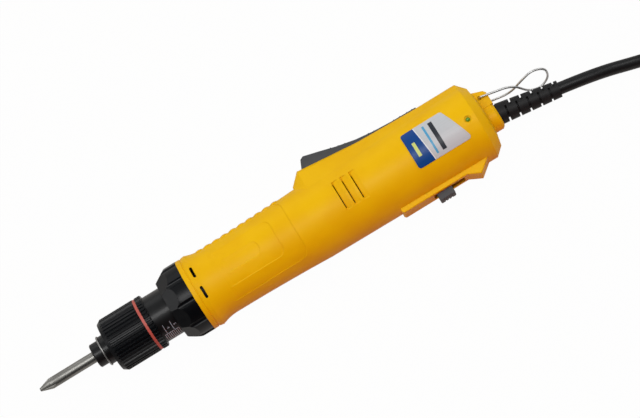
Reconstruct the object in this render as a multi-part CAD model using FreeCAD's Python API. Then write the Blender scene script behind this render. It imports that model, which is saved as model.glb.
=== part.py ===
"""Corded electric torque screwdriver, lying on its side, in millimetres.

X runs along the spindle from the bit (-X) to the cord (+X), Y points to the trigger lever,
and Z points up to the side with the label. The origin is on the spindle axis, at the mouth
of the bit socket.
"""

import FreeCAD
import Part

import math
import os

V = FreeCAD.Vector
X_AXIS = V(1, 0, 0)
Y_AXIS = V(0, 1, 0)
Z_AXIS = V(0, 0, 1)
ORIGIN = V(0, 0, 0)

# Clearances
RUN_GAP = 0.10          # radial gap of a piece that turns in another
SLIDE_GAP = 0.15        # gap of a piece that slides in another
SEAT_GAP = 0.05         # radial gap of a piece that is held still in its seat
FACE_GAP = 0.20         # end gap between pieces that turn past each other
SHELL_GAP = 0.30        # gap between a lever or knob and the shell around it

# Bit: a cross-point power bit with a hexagon shank
BIT_SHANK_R = 3.0
BIT_REACH = 33.0        # from the socket's mouth to the tip
BIT_POINT = 6.5         # length of the cross point
BIT_TIP_R = 0.9
BIT_FLUTE_W = 1.25
BIT_NECK_R = 2.8        # short neck where the blade meets the shank
BIT_HEX_AF = 6.35
BIT_HEX_LENGTH = 16.2
BIT_GROOVE_X = 7.0      # lock groove, from the socket's mouth
BIT_GROOVE_R = 2.5

# Bit collar, which slides back to free the bit
COLLAR_R = 6.7
COLLAR_FACE = 0.4       # set back from the socket's mouth
COLLAR_FRONT = 5.4
COLLAR_FLANGE_R = 8.05
COLLAR_FLANGE_END = 13.6
COLLAR_RECESS = 1.5     # front recess over the snap ring
COLLAR_CHAMBER = 8.1    # start of the spring chamber
COLLAR_CHAMBER_R = 6.7
SNAP_RING_R = 5.7
SNAP_RING_W = 0.8
SNAP_RING_DEPTH = 0.4
COLLAR_LIP = 0.3        # wall left at its front edge
COLLAR_TRAVEL = 3.0
COLLAR_RING_R = 0.6     # wire radius of the bright ring on the collar
COLLAR_SPRING_WIRE = 0.7
COLLAR_SPRING_TURNS = 4

# Spindle and its bearing
SPINDLE_R = 5.0
SPINDLE_SHOULDER_R = 6.4
SPINDLE_SHOULDER_X = 19.0
SPINDLE_FRONT = 0.5
LOCK_BALL_R = 1.25
LOCK_BAND_T = 0.4       # spring band that carries the lock ball
LOCK_BAND_W = 2.0
LOCK_BAND_HALF = 150.0  # half of its wrap, in degrees
JOURNAL_R = 2.7         # rear end of the spindle, in the output carrier
BEARING_X = 22.6
BEARING_W = 4.0
BEARING_R = 7.5
BEARING_RACE = 0.8      # radial thickness of a race
BEARING_LIP = 0.4

# Torque ring, which screws along the nose tube
RING_WALL = 1.75        # over the nose tube
RING_FRONT = 9.8
RING_REAR = 36.7
RING_WALL_FRONT = 2.4
RING_MOUTH_R = 8.7
RING_CHAMFER = 2.6
RING_RIBS = 44
RING_RIB_DEPTH = 0.55
RING_RIB_W = 1.1
BAND_X = 31.8
BAND_W = 1.5
BAND_DEPTH = 0.45
RING_TRAVEL = 8.0

# Nose tube, which holds the clutch and carries the torque scale
TUBE_R = 13.35
TUBE_WALL = 2.05
TUBE_FRONT_WALL = 6.2
TUBE_FLANGE_H = 3.05     # over the tube
TUBE_FLANGE_X = 51.0
TUBE_FLANGE_W = 2.0
TUBE_EYE = 0.6          # free gap round the spindle's shoulder and the carrier
PUSH_PIN_R = 1.0
PUSH_PIN_COUNT = 3
PUSHER_W = 1.0
SPRING_SEAT_W = 1.2
CLUTCH_SPRING_WIRE = 1.6
CLUTCH_SPRING_GAP = 1.3 # to the tube's bore
CLUTCH_SPRING_TURNS = 4

# Clutch
THRUST_X = 48.0
THRUST_W = 1.6
CAM_W = 3.6
CAM_GAP = 0.9           # to the tube's bore
SPINDLE_HEX_AF = 9.0
CLUTCH_BALLS = 6
CLUTCH_BALL_R = 1.5
CLUTCH_BALL_PCR = 7.8
CLUTCH_FACE_GAP = 1.8   # between the cam and the carrier

# Planet gears, two equal stages in one ring gear
MODULE = 0.6
SUN_TEETH = 12
PLANET_TEETH = 15
RING_TEETH = 42
PLANETS = 3
PRESSURE_ANGLE = 25.0
ADDENDUM = 0.8
DEDENDUM = 1.05
BACKLASH = 0.05         # taken off each flank, along the pitch circle
GEAR_FACE = 6.0
CARRIER_W = 2.8
CARRIER_R = 11.2
PLANET_PIN_R = 1.2
PLANET_GAP = 0.4        # end gap of a planet
RING_GEAR_R = 15.2

# Motor
MOTOR_R = 15.9
BELL_WALL = 2.0
BELL_RIM = 4.0
BELL_HUB_R = 8.0
BELL_SEAT = 0.8         # wall in front of the bearing
BELL_STEP = 0.8         # of the rim, inside the stator's yoke
BELL_EYE = 1.8          # free gap round the shaft
STATOR_LENGTH = 36.0
STATOR_YOKE = 2.9
STATOR_TEETH = 6
STATOR_TOOTH_W = 3.4
STATOR_BORE_R = 8.3
COIL_W = 2.2            # thickness of a winding beside its tooth
COIL_OVERHANG = 1.7
SHAFT_R = 2.5
MAGNET_R = 7.6
MAGNET_LENGTH = 30.0
MOTOR_BEARING_R = 6.5
MOTOR_BEARING_W = 4.0
MOTOR_BEARING_RACE = 1.1
SENSOR_BOARD_R = 13.0
SENSOR_BOARD_W = 1.6

# Lock nut, which clamps the nose tube to the shells
NUT_FRONT = 47.3
NUT_REAR = 61.4
NUT_WALL = 2.95         # over the neck
NUT_FACE_W = 3.25       # of the front face, round the tube
NUT_SHOULDER_X = 56.0
NUT_FLUTES = 10
NUT_FLUTE_R = 1.9
NUT_FLUTE_DEPTH = 1.0
NUT_FLUTE_X = 51.7
NUT_FIRST_FLUTE = 108.0  # degrees about X, from +Y
NUT_FACET = 0.6         # depth of the flats, at the front face
NUT_FACET_END = 54.5
NECK_STEP = 1.0         # threaded neck of the shells, over the tube's flange

# Shells
SHELL_FRONT = NUT_REAR
SHELL_REAR = 239.5
SHELL_WALL = 2.2
LIP_X = 66.8
LIP_RISE = 0.35         # over the front band
WAIST_X = 76.0
WAIST_R = 18.8
SHOULDER_X = 133.0
SHOULDER_R = 20.2
TAIL_X = 233.5
TAIL_R = 21.1
TAIL_CHAMFER_X = 238.0
TAIL_CHAMFER = 4.1      # radial depth of the tail's chamfer
TAIL_FACE_R = 10.5
REAR_WALL = 1.5         # from the room inside to the chamfer's end
FRONT_BAND_STEP = 0.10  # under the nut's rim
BAND_GROOVE_X = 64.2
BAND_GROOVE = 0.45

# Shell details
RIB_COUNT = 10
RIB_PITCH = 5.15
RIB_FIRST_X = 75.0
RIB_W = 5.0
RIB_HEIGHT = 0.55
RIB_SINK = 0.15         # of a rib's edges, in the shells
RIB_HALF_ANGLE = 28.0
PANEL_FRONT = 78.0
PANEL_STEP = 0.3        # depth of each nested step of the side grip
PANEL_REARS = (124.0, 114.0, 103.5)
PANEL_HALF_ANGLES = (59.5, 33.5, 12.5)
PANEL_CORNER = 4.0
PANEL_FADE = 2.0        # run of a step's fading edges
PANEL_LAND = 0.5        # between the fading fronts of two steps
PANEL_STATIONS = 6
LOUVER_COUNT = 3
LOUVER_X = 152.1
LOUVER_PITCH = 5.2
LOUVER_LENGTH = 17.2
LOUVER_RUN = 3.4
LOUVER_DEPTH = 1.0
LOUVER_SLOT = 0.5
VENT_X = 67.4
VENT_W = 1.5
VENT_LENGTH = 7.0
VENT_ANGLE = 17.6
LABEL_FRONT = 194.7
LABEL_REAR = 226.7
LABEL_SLANT = 7.6       # the rear edge leans forward by this much
LABEL_HALF_ANGLE = 29.0
LABEL_CORNER = 1.6
LABEL_T = 0.25
LABEL_GLUE = 0.1        # thickness of the glue under it
LED_X = 229.1
LED_Y = -1.5
LED_R = 1.2
LED_FLANGE_R = 1.9
LED_RECESS = 0.6        # depth of the round recess about the lens
LED_SINK = 0.9          # centre of its lens, below the tail's radius

# Lever hump on the shells: x, shell radius below and rise of the flat top over it
HUMP_STATIONS = ((134.0, SHOULDER_R, 0.3), (140.2, SHOULDER_R, 6.7), (175.0, SHOULDER_R, 3.3),
                 (212.0, TAIL_R, 1.3), (TAIL_X, TAIL_R, 1.3), (TAIL_CHAMFER_X, TAIL_R - TAIL_CHAMFER, 0.2))
HUMP_CORNER_R = 5.0
HUMP_FLAT = 4.5         # half width of the flat top
HUMP_SINK = 0.3         # of the circle, inside the shells

# Trigger lever, which turns about a pin at its rear end
LEVER_HALF_W = 6.2
LEVER_PIVOT_X = 205.0
LEVER_PIVOT_DEPTH = 2.6 # of the pin, below the shells' surface
LEVER_PIN_R = 1.5
LEVER_PIN_REACH = 3.0   # beyond each side of the lever
LEVER_RISES = ((142.7, 5.8), (145.0, 11.0), (147.0, 12.0), (156.3, 9.5), (164.6, 7.1),
               (175.0, 4.85), (185.4, 3.6), (195.8, 3.0), (210.4, 2.7))  # x, height over the shells
LEVER_RIB_XS = (161.6, 165.7, 169.3, 182.5, 185.6, 197.4, 201.0, 205.2, 208.2)
LEVER_RIB_R = 0.35
LEVER_FRONT_GAP = 1.3   # to the hump, for the swing
LEVER_UNDER_DEPTH = 1.2 # lower face in front, below the shells' surface
LEVER_TOE = 3.4         # length of the stop under the hump
LEVER_TOE_RISE = 3.0    # its top, over the shells
LEVER_TOE_T = 2.2
TOE_ROOM = 9.0          # free depth below the toe
LEVER_HUB_R = 3.2
PIVOT_BOSS_WALL = 1.0
NUB_W = 3.0             # nub over the switch
LEVER_SPRING_X = 160.0
LEVER_SPRING_WIRE = 0.7
LEVER_SPRING_R = 2.8
LEVER_SPRING_TURNS = 6
SPRING_SHELF_Y = 8.0
SPRING_SHELF_T = 2.0
SPRING_SHELF_EDGE = 1.7  # round the spring's middle line

# Lever switch, on the control board
SWITCH_X = 188.0
SWITCH_LENGTH = 20.0
SWITCH_TOP = 12.6
SWITCH_HEIGHT = 10.0
SWITCH_THICK = 6.4
PLUNGER_R = 1.2
PLUNGER_REACH = 1.8
PLUNGER_DEPTH = 2.5     # inside the switch

# Direction knob on its rail
RAIL_HALF_W = 6.3
RAIL_RISE = 1.35        # over the tail's radius
RAIL_FRONT = 175.8
RAIL_HOOK_START = 214.5
RAIL_HOOK_X = 221.3
RAIL_HOOK_RISE = 4.8
RAIL_REAR = 228.5
KNOB_X = 200.4
KNOB_LENGTH = 8.9
KNOB_HALF_W = 3.4
KNOB_RISE = 5.6         # over the tail's radius
KNOB_TRAVEL = 7.5
KNOB_ROUND = 0.9
KNOB_FOOT = 1.4         # thickness of the foot inside the shells
DIRECTION_SWITCH_LENGTH = 26.0
DIRECTION_SWITCH_TOP = 3.5
DIRECTION_SWITCH_W = 5.0

# Control board
BOARD_FRONT = 143.0
BOARD_REAR = 218.0
BOARD_Z = -8.0          # its upper face
BOARD_T = 1.6
POWER_CHIP = (5.0, 6.0, 1.8)  # length, width and height
POWER_CHIPS = 3         # in each row
POWER_CHIP_PITCH = 8.0
CONTROL_CHIP = (9.0, 9.0, 1.2)
CONTROL_CHIP_X = 25.5   # from the board's front end
CAPACITOR_R = 3.6
CAPACITOR_H = 9.0
CAPACITOR_PITCH = 11.0
CONNECTOR = (6.0, 12.0, 4.0)
CONNECTOR_Y = -4.0
BOARD_MARGIN = 2.0      # from the board's edges to the parts on it

# Shell screws: (x, y) of each
SCREWS = ((130.0, 12.6), (130.0, -12.6), (224.0, 12.4), (224.0, -13.0))
SCREW_R = 1.45
SCREW_HEAD_R = 2.5
SCREW_HEAD_H = 2.0
SCREW_GRIP = 7.0        # depth in the upper shell
SCREW_BOSS_R = 3.6
SCREW_SEAT_Z = -13.2

# Rear boss, lug and wire bail
BOSS_Y = -2.2
BOSS_R = 7.8
BOSS_END = 245.2
BOSS_ROUND = 1.2
LUG_HALF_W = 6.0
LUG_FRONT = 237.0
LUG_REAR = 245.6
LUG_LOW = 3.0
LUG_TOP_FRONT = 14.0
LUG_TOP_REAR = 11.4
BAIL_X = 241.0
BAIL_Y = 8.9
BAIL_WIRE_R = 0.6
BAIL_DEPTH = 3.0        # depth of each leg in the lug
BAIL_MOUTH_R = 1.15     # wider mouth of its hole
BAIL_MOUTH_DEPTH = 0.9
BAIL_POINTS = ((BAIL_X, BAIL_Y, LUG_HALF_W - BAIL_DEPTH), (BAIL_X, BAIL_Y, 7.6), (258.8, 5.9, 5.4),
               (265.5, 1.4, -4.4), (272.0, 0.0, -7.4), (278.2, 1.7, -3.6), (278.6, 4.7, 4.0),
               (271.5, 6.4, 8.2), (264.5, 5.8, 4.0), (257.0, 5.6, -5.2), (BAIL_X, BAIL_Y, -7.6),
               (BAIL_X, BAIL_Y, BAIL_DEPTH - LUG_HALF_W))

# Strain relief
RELIEF_ANGLE = -9.0     # lean toward -Y, in degrees
RELIEF_LENGTH = 34.2
RELIEF_ROOT_R = 5.85
RELIEF_END_R = 4.55
RELIEF_NECK_R = 5.4
RELIEF_FLANGE_R = 7.4
RELIEF_FLANGE_W = 2.4
RELIEF_SLOTS = 5
RELIEF_FIRST_SLOT = 4.2
RELIEF_PITCH = 6.05
RELIEF_SLOT_W = 1.1
RELIEF_CORE_R = 3.6
RELIEF_SLOT_ANGLE = 186.0
RELIEF_SLOT_MIDDLE = 165.0
LEAD_R = 0.6

# Cord and coil
CORD_R = 3.4
CORD_RUN = 0.45         # share of the shorter run that a bend takes
CORD_LEAD = 20.0        # straight run out of the strain relief
CORD_BENDS = ((322.4, -15.0, 0.45), (347.0, -19.4, 0.0), (367.5, -21.3, 0.0),
              (387.0, -22.5, 0.0))  # x, y, share of the drop left
COIL_LIFT = 1.2         # of the lowest layer, off the floor
COIL_OUTER_R = 41.5
COIL_PITCH = 7.4
COIL_LAYER = 7.6
COIL_IN = 1.5           # turns in on the lowest layer, and out again on the second
COIL_TOP = 1.25         # turns in on the top layer
COIL_CLIMB = 0.5        # turns that a climb takes
TIE_T = 0.8
TIE_W = 4.0
TIE_GAP = 0.3
TIE_TURNS = (0.12, 0.36)  # from the start of the coil

# Plug
PLUG_BOOT_LENGTH = 10.0
PLUG_BOOT_R = 4.9
PLUG_GRIP_R = 7.5
PLUG_GRIP_LENGTH = 20.0
PLUG_NOSE_R = 5.8
PLUG_NOSE_LENGTH = 8.0
PLUG_NOSE_WALL = 0.7
PLUG_KEY_W = 2.0
PLUG_KEY_H = 1.25
PLUG_INSERT_DEPTH = 4.0
PLUG_PINS = 5
PLUG_PIN_R = 0.6
PLUG_PIN_PCR = 3.0
PLUG_PIN_STEP = 45.0    # degrees between pins
PLUG_GRIP_RIBS = 4
PLUG_RIB_PITCH = 3.0
PLUG_RIB_DEPTH = 0.8

# Sizes and places that follow from the sizes above
TUBE_FRONT = RING_FRONT + RING_WALL_FRONT + FACE_GAP + PUSHER_W + RING_TRAVEL + FACE_GAP
TUBE_BORE_R = TUBE_R - TUBE_WALL
TUBE_FLANGE_R = TUBE_R + TUBE_FLANGE_H
RING_R = TUBE_R + RUN_GAP + RING_WALL
PUSH_PIN_PCR = (BEARING_R + TUBE_BORE_R) / 2
CLUTCH_SPRING_R = TUBE_BORE_R - CLUTCH_SPRING_GAP - CLUTCH_SPRING_WIRE / 2
CAM_R = TUBE_BORE_R - CAM_GAP
LOCK_BAND_R = SPINDLE_R - 2 * SEAT_GAP
COLLAR_CHAMFER = COLLAR_R - SNAP_RING_R - 2 * RUN_GAP - COLLAR_LIP
NECK_R = TUBE_FLANGE_R + NECK_STEP
NUT_R = NECK_R + NUT_WALL
NUT_FRONT_R = TUBE_R + NUT_FACE_W
NUT_FACET_R = NUT_FRONT_R - NUT_FACET
FRONT_BAND_R = NUT_R - FRONT_BAND_STEP
LIP_R = FRONT_BAND_R + LIP_RISE
TAIL_CHAMFER_R = TAIL_R - TAIL_CHAMFER
LEVER_PIVOT_Y = SHOULDER_R - LEVER_PIVOT_DEPTH
LEVER_UNDER = SHOULDER_R - LEVER_UNDER_DEPTH
LEVER_TOE_TOP = SHOULDER_R + LEVER_TOE_RISE
LEVER_TOP = tuple((x, SHOULDER_R + rise) for x, rise in LEVER_RISES)
LEVER_PIN_HALF = LEVER_HALF_W + LEVER_PIN_REACH
PIVOT_BOSS_R = LEVER_HUB_R + PIVOT_BOSS_WALL
RAIL_FLOOR = TAIL_R + RAIL_RISE
RAIL_HOOK_Y = TAIL_R + RAIL_HOOK_RISE
KNOB_FACE = TAIL_R + KNOB_RISE
ROOM_R = min(SHOULDER_R, TAIL_R) - SHELL_WALL
REAR_WALL_X = TAIL_CHAMFER_X - REAR_WALL
FAR = 2 * max(SHOULDER_R, TAIL_R)  # reach of a cut that passes right through the shells
BOARD_LOW = SHELL_GAP - math.sqrt(ROOM_R ** 2 - (BOARD_T - BOARD_Z) ** 2)
BOARD_HIGH = LEVER_PIVOT_Y - PIVOT_BOSS_R - SHELL_GAP
SPRING_SEAT_X = TUBE_FRONT + TUBE_FRONT_WALL + 1.0
CAM_START = THRUST_X + THRUST_W + FACE_GAP
CAM_END = CAM_START + CAM_W
BALL_X = CAM_END + CLUTCH_FACE_GAP / 2
CARRIER_2_X = CAM_END + CLUTCH_FACE_GAP
CARRIER_2_END = CARRIER_2_X + CARRIER_W
PLANET_2_X = CARRIER_2_END + PLANET_GAP
CARRIER_1_X = PLANET_2_X + GEAR_FACE + PLANET_GAP
CARRIER_1_END = CARRIER_1_X + CARRIER_W
PLANET_1_X = CARRIER_1_END + PLANET_GAP
RING_GEAR_X = TUBE_FLANGE_X + TUBE_FLANGE_W + 2.3
MOTOR_X = PLANET_1_X + GEAR_FACE + PLANET_GAP
STATOR_X = MOTOR_X + BELL_RIM
STATOR_END = STATOR_X + STATOR_LENGTH
MOTOR_END = STATOR_END + BELL_RIM
PLANET_PCR = MODULE * (SUN_TEETH + PLANET_TEETH) / 2
GEAR_ROOM_R = RING_GEAR_R + SEAT_GAP
MOTOR_ROOM_R = MOTOR_R + SEAT_GAP
NECK_FRONT = TUBE_FLANGE_X + TUBE_FLANGE_W
FLOOR_Z = -TAIL_R
COIL_Z = FLOOR_Z + COIL_LIFT + CORD_R
RELIEF_X = BOSS_END + FACE_GAP
LEVER_OPENING_X = LEVER_TOP[0][0] - LEVER_FRONT_GAP
NUB_Y = SWITCH_TOP + PLUNGER_REACH + RUN_GAP
PLUNGER_Z = BOARD_Z + SWITCH_THICK / 2
KNOB_FOOT_Y = math.sqrt((SHOULDER_R - SHELL_WALL) ** 2 - (KNOB_HALF_W + 1.6) ** 2) - SHELL_GAP
LED_TOP = TAIL_R - LED_SINK
COIL_LEGS = ((COIL_IN, 0, 0), (COIL_CLIMB, 1 / COIL_CLIMB, COIL_LAYER), (COIL_IN, 0, 0),
             (COIL_CLIMB, 1 / COIL_CLIMB, COIL_LAYER), (COIL_TOP, 0, 0),
             (COIL_CLIMB, 0.5 / COIL_CLIMB, CORD_R + TIE_GAP + PLUG_GRIP_R))  # turns, curl and rise
COIL_TURNS = sum(leg[0] for leg in COIL_LEGS)


def cylinder(radius, start, end, y=0.0, z=0.0):
    """Cylinder along X."""
    return Part.makeCylinder(radius, end - start, V(start, y, z), X_AXIS)


def tube(outer, inner, start, end):
    return cylinder(outer, start, end).cut(cylinder(inner, start, end))


def block(x0, x1, y0, y1, z0, z1):
    return Part.makeBox(x1 - x0, y1 - y0, z1 - z0, V(x0, y0, z0))


def turned(outline):
    """Solid turned about X from (x, r) corners."""
    corners = [V(x, r, 0) for x, r in outline]
    face = Part.Face(Part.makePolygon(corners + corners[:1]))
    return face.revolve(ORIGIN, X_AXIS, 360)


def plate(outline, z0, z1):
    """Solid between two Z planes from (x, y) corners."""
    corners = [V(x, y, z0) for x, y in outline]
    face = Part.Face(Part.makePolygon(corners + corners[:1]))
    return face.extrude(V(0, 0, z1 - z0))


def hexagon(across_flats, start, end):
    corner = across_flats / math.sqrt(3)
    corners = [V(start, corner * math.cos(math.radians(60 * i)), corner * math.sin(math.radians(60 * i)))
               for i in range(6)]
    face = Part.Face(Part.makePolygon(corners + corners[:1]))
    return face.extrude(V(end - start, 0, 0))


def about_x(shape, degrees):
    return shape.rotated(ORIGIN, X_AXIS, degrees)


def ring_of(shape, count, first=0.0):
    """Copies of a shape, evenly spaced about X."""
    return [about_x(shape, first + 360.0 * i / count) for i in range(count)]


def fused(shapes):
    return shapes[0].multiFuse(shapes[1:]).removeSplitter()


def ball_ring(radius, pitch_radius, x, count):
    ball = Part.makeSphere(radius, V(x, pitch_radius, 0))
    return Part.makeCompound(ring_of(ball, count))


def bearing(outer, inner, race, start, width):
    """Outer and inner race of a sealed bearing along X, with a narrow gap between them."""
    middle = (outer + inner) / 2
    end = start + width
    high = middle + RUN_GAP / 2
    low = middle - RUN_GAP / 2
    outer_race = turned([(start, high), (start, outer), (end, outer), (end, high)])
    lip = BEARING_LIP
    inner_race = turned([(start, inner), (start, inner + race), (start + lip, inner + race),
                         (start + lip, low), (end - lip, low),
                         (end - lip, inner + race), (end, inner + race), (end, inner)])
    return outer_race, inner_race


def rounded_wire(points):
    """Straight runs joined by tangent arcs, each arc taking CORD_RUN of the shorter run."""
    corners = [V(*p) for p in points]
    edges = []
    radii = []
    here = corners[0]
    for before, corner, after in zip(corners, corners[1:], corners[2:]):
        back = (before - corner).normalize()
        ahead = (after - corner).normalize()
        take = CORD_RUN * min((before - corner).Length, (after - corner).Length)
        half_turn = (math.pi - back.getAngle(ahead)) / 2
        radius = take / math.tan(half_turn)
        start = corner + back * take
        end = corner + ahead * take
        inward = (back + ahead).normalize()
        middle = corner + inward * (radius / math.cos(half_turn) - radius)
        edges.append(Part.LineSegment(here, start).toShape())
        edges.append(Part.Arc(start, middle, end).toShape())
        radii.append(radius)
        here = end
    edges.append(Part.LineSegment(here, corners[-1]).toShape())
    return Part.Wire(edges), radii


def swept(wire, radius):
    """Round tube along a wire."""
    first = wire.Edges[0]
    start = first.valueAt(first.FirstParameter)
    heading = first.tangentAt(first.FirstParameter)
    section = Part.Wire(Part.makeCircle(radius, start, heading))
    return Part.Wire(wire).makePipeShell([section], True, False)


def arc_from(start, heading, end):
    """Arc that leaves start along heading and reaches end."""
    chord = end - start
    unit = V(chord).normalize()
    side = heading - unit * heading.dot(unit)
    if side.Length < 1e-6:
        return Part.LineSegment(start, end).toShape()
    half = heading.getAngle(unit) / 2
    middle = start + chord * 0.5 + side.normalize() * (chord.Length / 2 * math.tan(half))
    return Part.Arc(start, middle, end).toShape()


def biarc(start, heading, end, end_heading):
    """Two tangent arcs from one point and heading to another."""
    chord = end - start
    both = heading + end_heading
    spread = 2 * (1 - heading.dot(end_heading))
    along = chord.dot(both)
    if spread < 1e-9:
        reach = chord.dot(chord) / (2 * along)
    else:
        reach = (math.sqrt(along * along + spread * chord.dot(chord)) - along) / spread
    control = start + heading * reach
    end_control = end - end_heading * reach
    joint = (control + end_control) * 0.5
    joint_heading = (end_control - control).normalize()
    return [arc_from(start, heading, joint), arc_from(joint, joint_heading, end)]


def wound_edges(place, steps):
    """Biarcs through place(s) for each s in steps, with headings taken from place."""
    nudge = 1e-4
    points = [place(s) for s in steps]
    headings = [(place(s + nudge) - place(s - nudge)).normalize() for s in steps]
    edges = []
    for i in range(len(steps) - 1):
        edges += biarc(points[i], headings[i], points[i + 1], headings[i + 1])
    return edges


def helical_spring(radius, wire, start, end, turns):
    """Compression spring along X."""
    free = end - start - wire

    def place(s):
        angle = 2 * math.pi * s
        return V(start + wire / 2 + free * s / turns, radius * math.cos(angle), radius * math.sin(angle))

    return swept(Part.Wire(wound_edges(place, [i / 4 for i in range(4 * turns + 1)])), wire / 2)


def cross_point_bit():
    """Round blade with a cross point, on a hexagon shank."""
    neck = -BIT_REACH + BIT_POINT
    blade = turned([(-BIT_REACH, 0), (-BIT_REACH, BIT_TIP_R), (neck, BIT_SHANK_R), (0, BIT_SHANK_R),
                    (0, BIT_NECK_R), (SPINDLE_FRONT, BIT_NECK_R), (SPINDLE_FRONT, 0)])
    side = BIT_SHANK_R * 2
    flute_end = neck + BIT_SHANK_R
    flute = Part.makeBox(flute_end + BIT_REACH, side, side, V(-BIT_REACH, BIT_FLUTE_W / 2, BIT_FLUTE_W / 2))
    lean = math.degrees(math.atan2(BIT_SHANK_R - BIT_TIP_R, flute_end + BIT_REACH))
    flute.rotate(V(-BIT_REACH, 0, 0), V(0, -1, 1), lean)
    blade = blade.cut(Part.makeCompound(ring_of(flute, 4)))
    shank = hexagon(BIT_HEX_AF, SPINDLE_FRONT, SPINDLE_FRONT + BIT_HEX_LENGTH)
    groove = tube(BIT_HEX_AF, BIT_GROOVE_R, BIT_GROOVE_X - LOCK_BALL_R, BIT_GROOVE_X + LOCK_BALL_R)
    return blade.fuse(shank.cut(groove))


def collar():
    """Sliding sleeve with a recess for the snap ring, a release groove and a spring chamber."""
    bore = SPINDLE_R + SLIDE_GAP
    release = BIT_GROOVE_X - COLLAR_TRAVEL
    groove_r = SPINDLE_R + LOCK_BALL_R - SLIDE_GAP
    ring_x = COLLAR_FRONT + COLLAR_RING_R
    body = turned([
        (COLLAR_FACE, SNAP_RING_R + RUN_GAP * 2), (COLLAR_FACE, COLLAR_R - COLLAR_CHAMFER),
        (COLLAR_FACE + COLLAR_CHAMFER, COLLAR_R), (COLLAR_FRONT, COLLAR_R),
        (COLLAR_FRONT, COLLAR_FLANGE_R), (COLLAR_FLANGE_END, COLLAR_FLANGE_R),
        (COLLAR_FLANGE_END, COLLAR_CHAMBER_R), (COLLAR_CHAMBER, COLLAR_CHAMBER_R), (COLLAR_CHAMBER, bore),
        (release + LOCK_BALL_R, bore), (release, groove_r), (release - LOCK_BALL_R, bore),
        (COLLAR_RECESS, bore), (COLLAR_RECESS, SNAP_RING_R + RUN_GAP * 2)])
    return body.cut(Part.makeTorus(COLLAR_FLANGE_R, COLLAR_RING_R, V(ring_x, 0, 0), X_AXIS))


def collar_ring():
    """Bright wire ring, half sunk in the collar's flange."""
    ring_x = COLLAR_FRONT + COLLAR_RING_R
    return Part.makeTorus(COLLAR_FLANGE_R, COLLAR_RING_R - SEAT_GAP, V(ring_x, 0, 0), X_AXIS)


def spindle():
    """Hexagon socket in front, a shoulder for the bearing, a hexagon for the clutch cam."""
    snap_start = COLLAR_RECESS - SNAP_RING_W - SEAT_GAP
    solid = turned([
        (SPINDLE_FRONT, 0), (SPINDLE_FRONT, SPINDLE_R), (snap_start, SPINDLE_R),
        (snap_start, SPINDLE_R - SNAP_RING_DEPTH), (COLLAR_RECESS, SPINDLE_R - SNAP_RING_DEPTH),
        (COLLAR_RECESS, SPINDLE_R), (SPINDLE_SHOULDER_X, SPINDLE_R),
        (SPINDLE_SHOULDER_X, SPINDLE_SHOULDER_R), (BEARING_X, SPINDLE_SHOULDER_R), (BEARING_X, SPINDLE_R),
        (THRUST_X + THRUST_W, SPINDLE_R),
        (THRUST_X + THRUST_W, SPINDLE_HEX_AF / 2), (CAM_END, SPINDLE_HEX_AF / 2), (CAM_END, JOURNAL_R),
        (CARRIER_2_END, JOURNAL_R), (CARRIER_2_END, 0)])
    solid = solid.fuse(hexagon(SPINDLE_HEX_AF, CAM_START, CAM_END))
    socket = hexagon(BIT_HEX_AF + 2 * SLIDE_GAP, 0, SPINDLE_FRONT + BIT_HEX_LENGTH + FACE_GAP)
    ball_hole = Part.makeCylinder(LOCK_BALL_R + SEAT_GAP, 2 * SPINDLE_R, V(BIT_GROOVE_X, 0, 0), Y_AXIS)
    half = LOCK_BAND_W / 2 + SEAT_GAP
    floor = LOCK_BAND_R - LOCK_BAND_T - SEAT_GAP
    band_groove = tube(SPINDLE_R + 1, floor, BIT_GROOVE_X - half, BIT_GROOVE_X + half)
    return solid.cut(socket).cut(ball_hole).cut(band_groove)


def snap_ring():
    end = COLLAR_RECESS
    return tube(SNAP_RING_R, SPINDLE_R - SNAP_RING_DEPTH, end - SNAP_RING_W - SEAT_GAP, end - SEAT_GAP)


def lock_spring():
    """Spring band round the spindle, with a ball on it that holds the bit by its groove."""
    front = BIT_GROOVE_X - LOCK_BAND_W / 2
    rear = BIT_GROOVE_X + LOCK_BAND_W / 2
    inner = LOCK_BAND_R - LOCK_BAND_T
    section = [(front, inner), (front, LOCK_BAND_R), (rear, LOCK_BAND_R), (rear, inner)]
    band = sector(section, LOCK_BAND_HALF, 0)
    ball_y = SPINDLE_R + SLIDE_GAP - LOCK_BALL_R - SEAT_GAP
    return band.fuse(Part.makeSphere(LOCK_BALL_R, V(BIT_GROOVE_X, ball_y, 0)))


def ribbed_bar(radius, depth, ribs, rib_width, start, end):
    """Bar along X with straight ribs all round."""
    pitch = 2 * math.pi / ribs
    top = rib_width / radius / 2 * 0.6
    foot = rib_width / radius / 2 * 1.3
    low = radius - depth
    corners = []
    for i in range(ribs):
        for r, turn in ((low, -foot), (radius, -top), (radius, top), (low, foot)):
            angle = i * pitch + turn
            corners.append(V(start, r * math.cos(angle), r * math.sin(angle)))
    face = Part.Face(Part.makePolygon(corners + corners[:1]))
    return face.extrude(V(end - start, 0, 0))


def torque_ring():
    """Ribbed ring with a front wall, a chamfer and a groove for the index band."""
    ribbed = ribbed_bar(RING_R, RING_RIB_DEPTH, RING_RIBS, RING_RIB_W, RING_FRONT, RING_REAR)
    front_r = RING_R - RING_RIB_DEPTH - 1.0
    envelope = turned([(RING_FRONT, 0), (RING_FRONT, front_r), (RING_FRONT + RING_CHAMFER, RING_R + 0.1),
                       (RING_REAR - RING_RIB_DEPTH, RING_R + 0.1), (RING_REAR, RING_R - RING_RIB_DEPTH),
                       (RING_REAR, 0)])
    body = ribbed.common(envelope)
    body = body.cut(tube(RING_R + 1, RING_R - RING_RIB_DEPTH - BAND_DEPTH, BAND_X, BAND_X + BAND_W))
    body = body.cut(cylinder(RING_MOUTH_R, RING_FRONT - 1, RING_REAR))
    return body.cut(cylinder(TUBE_R + RUN_GAP, RING_FRONT + RING_WALL_FRONT, RING_REAR + 1))


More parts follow.
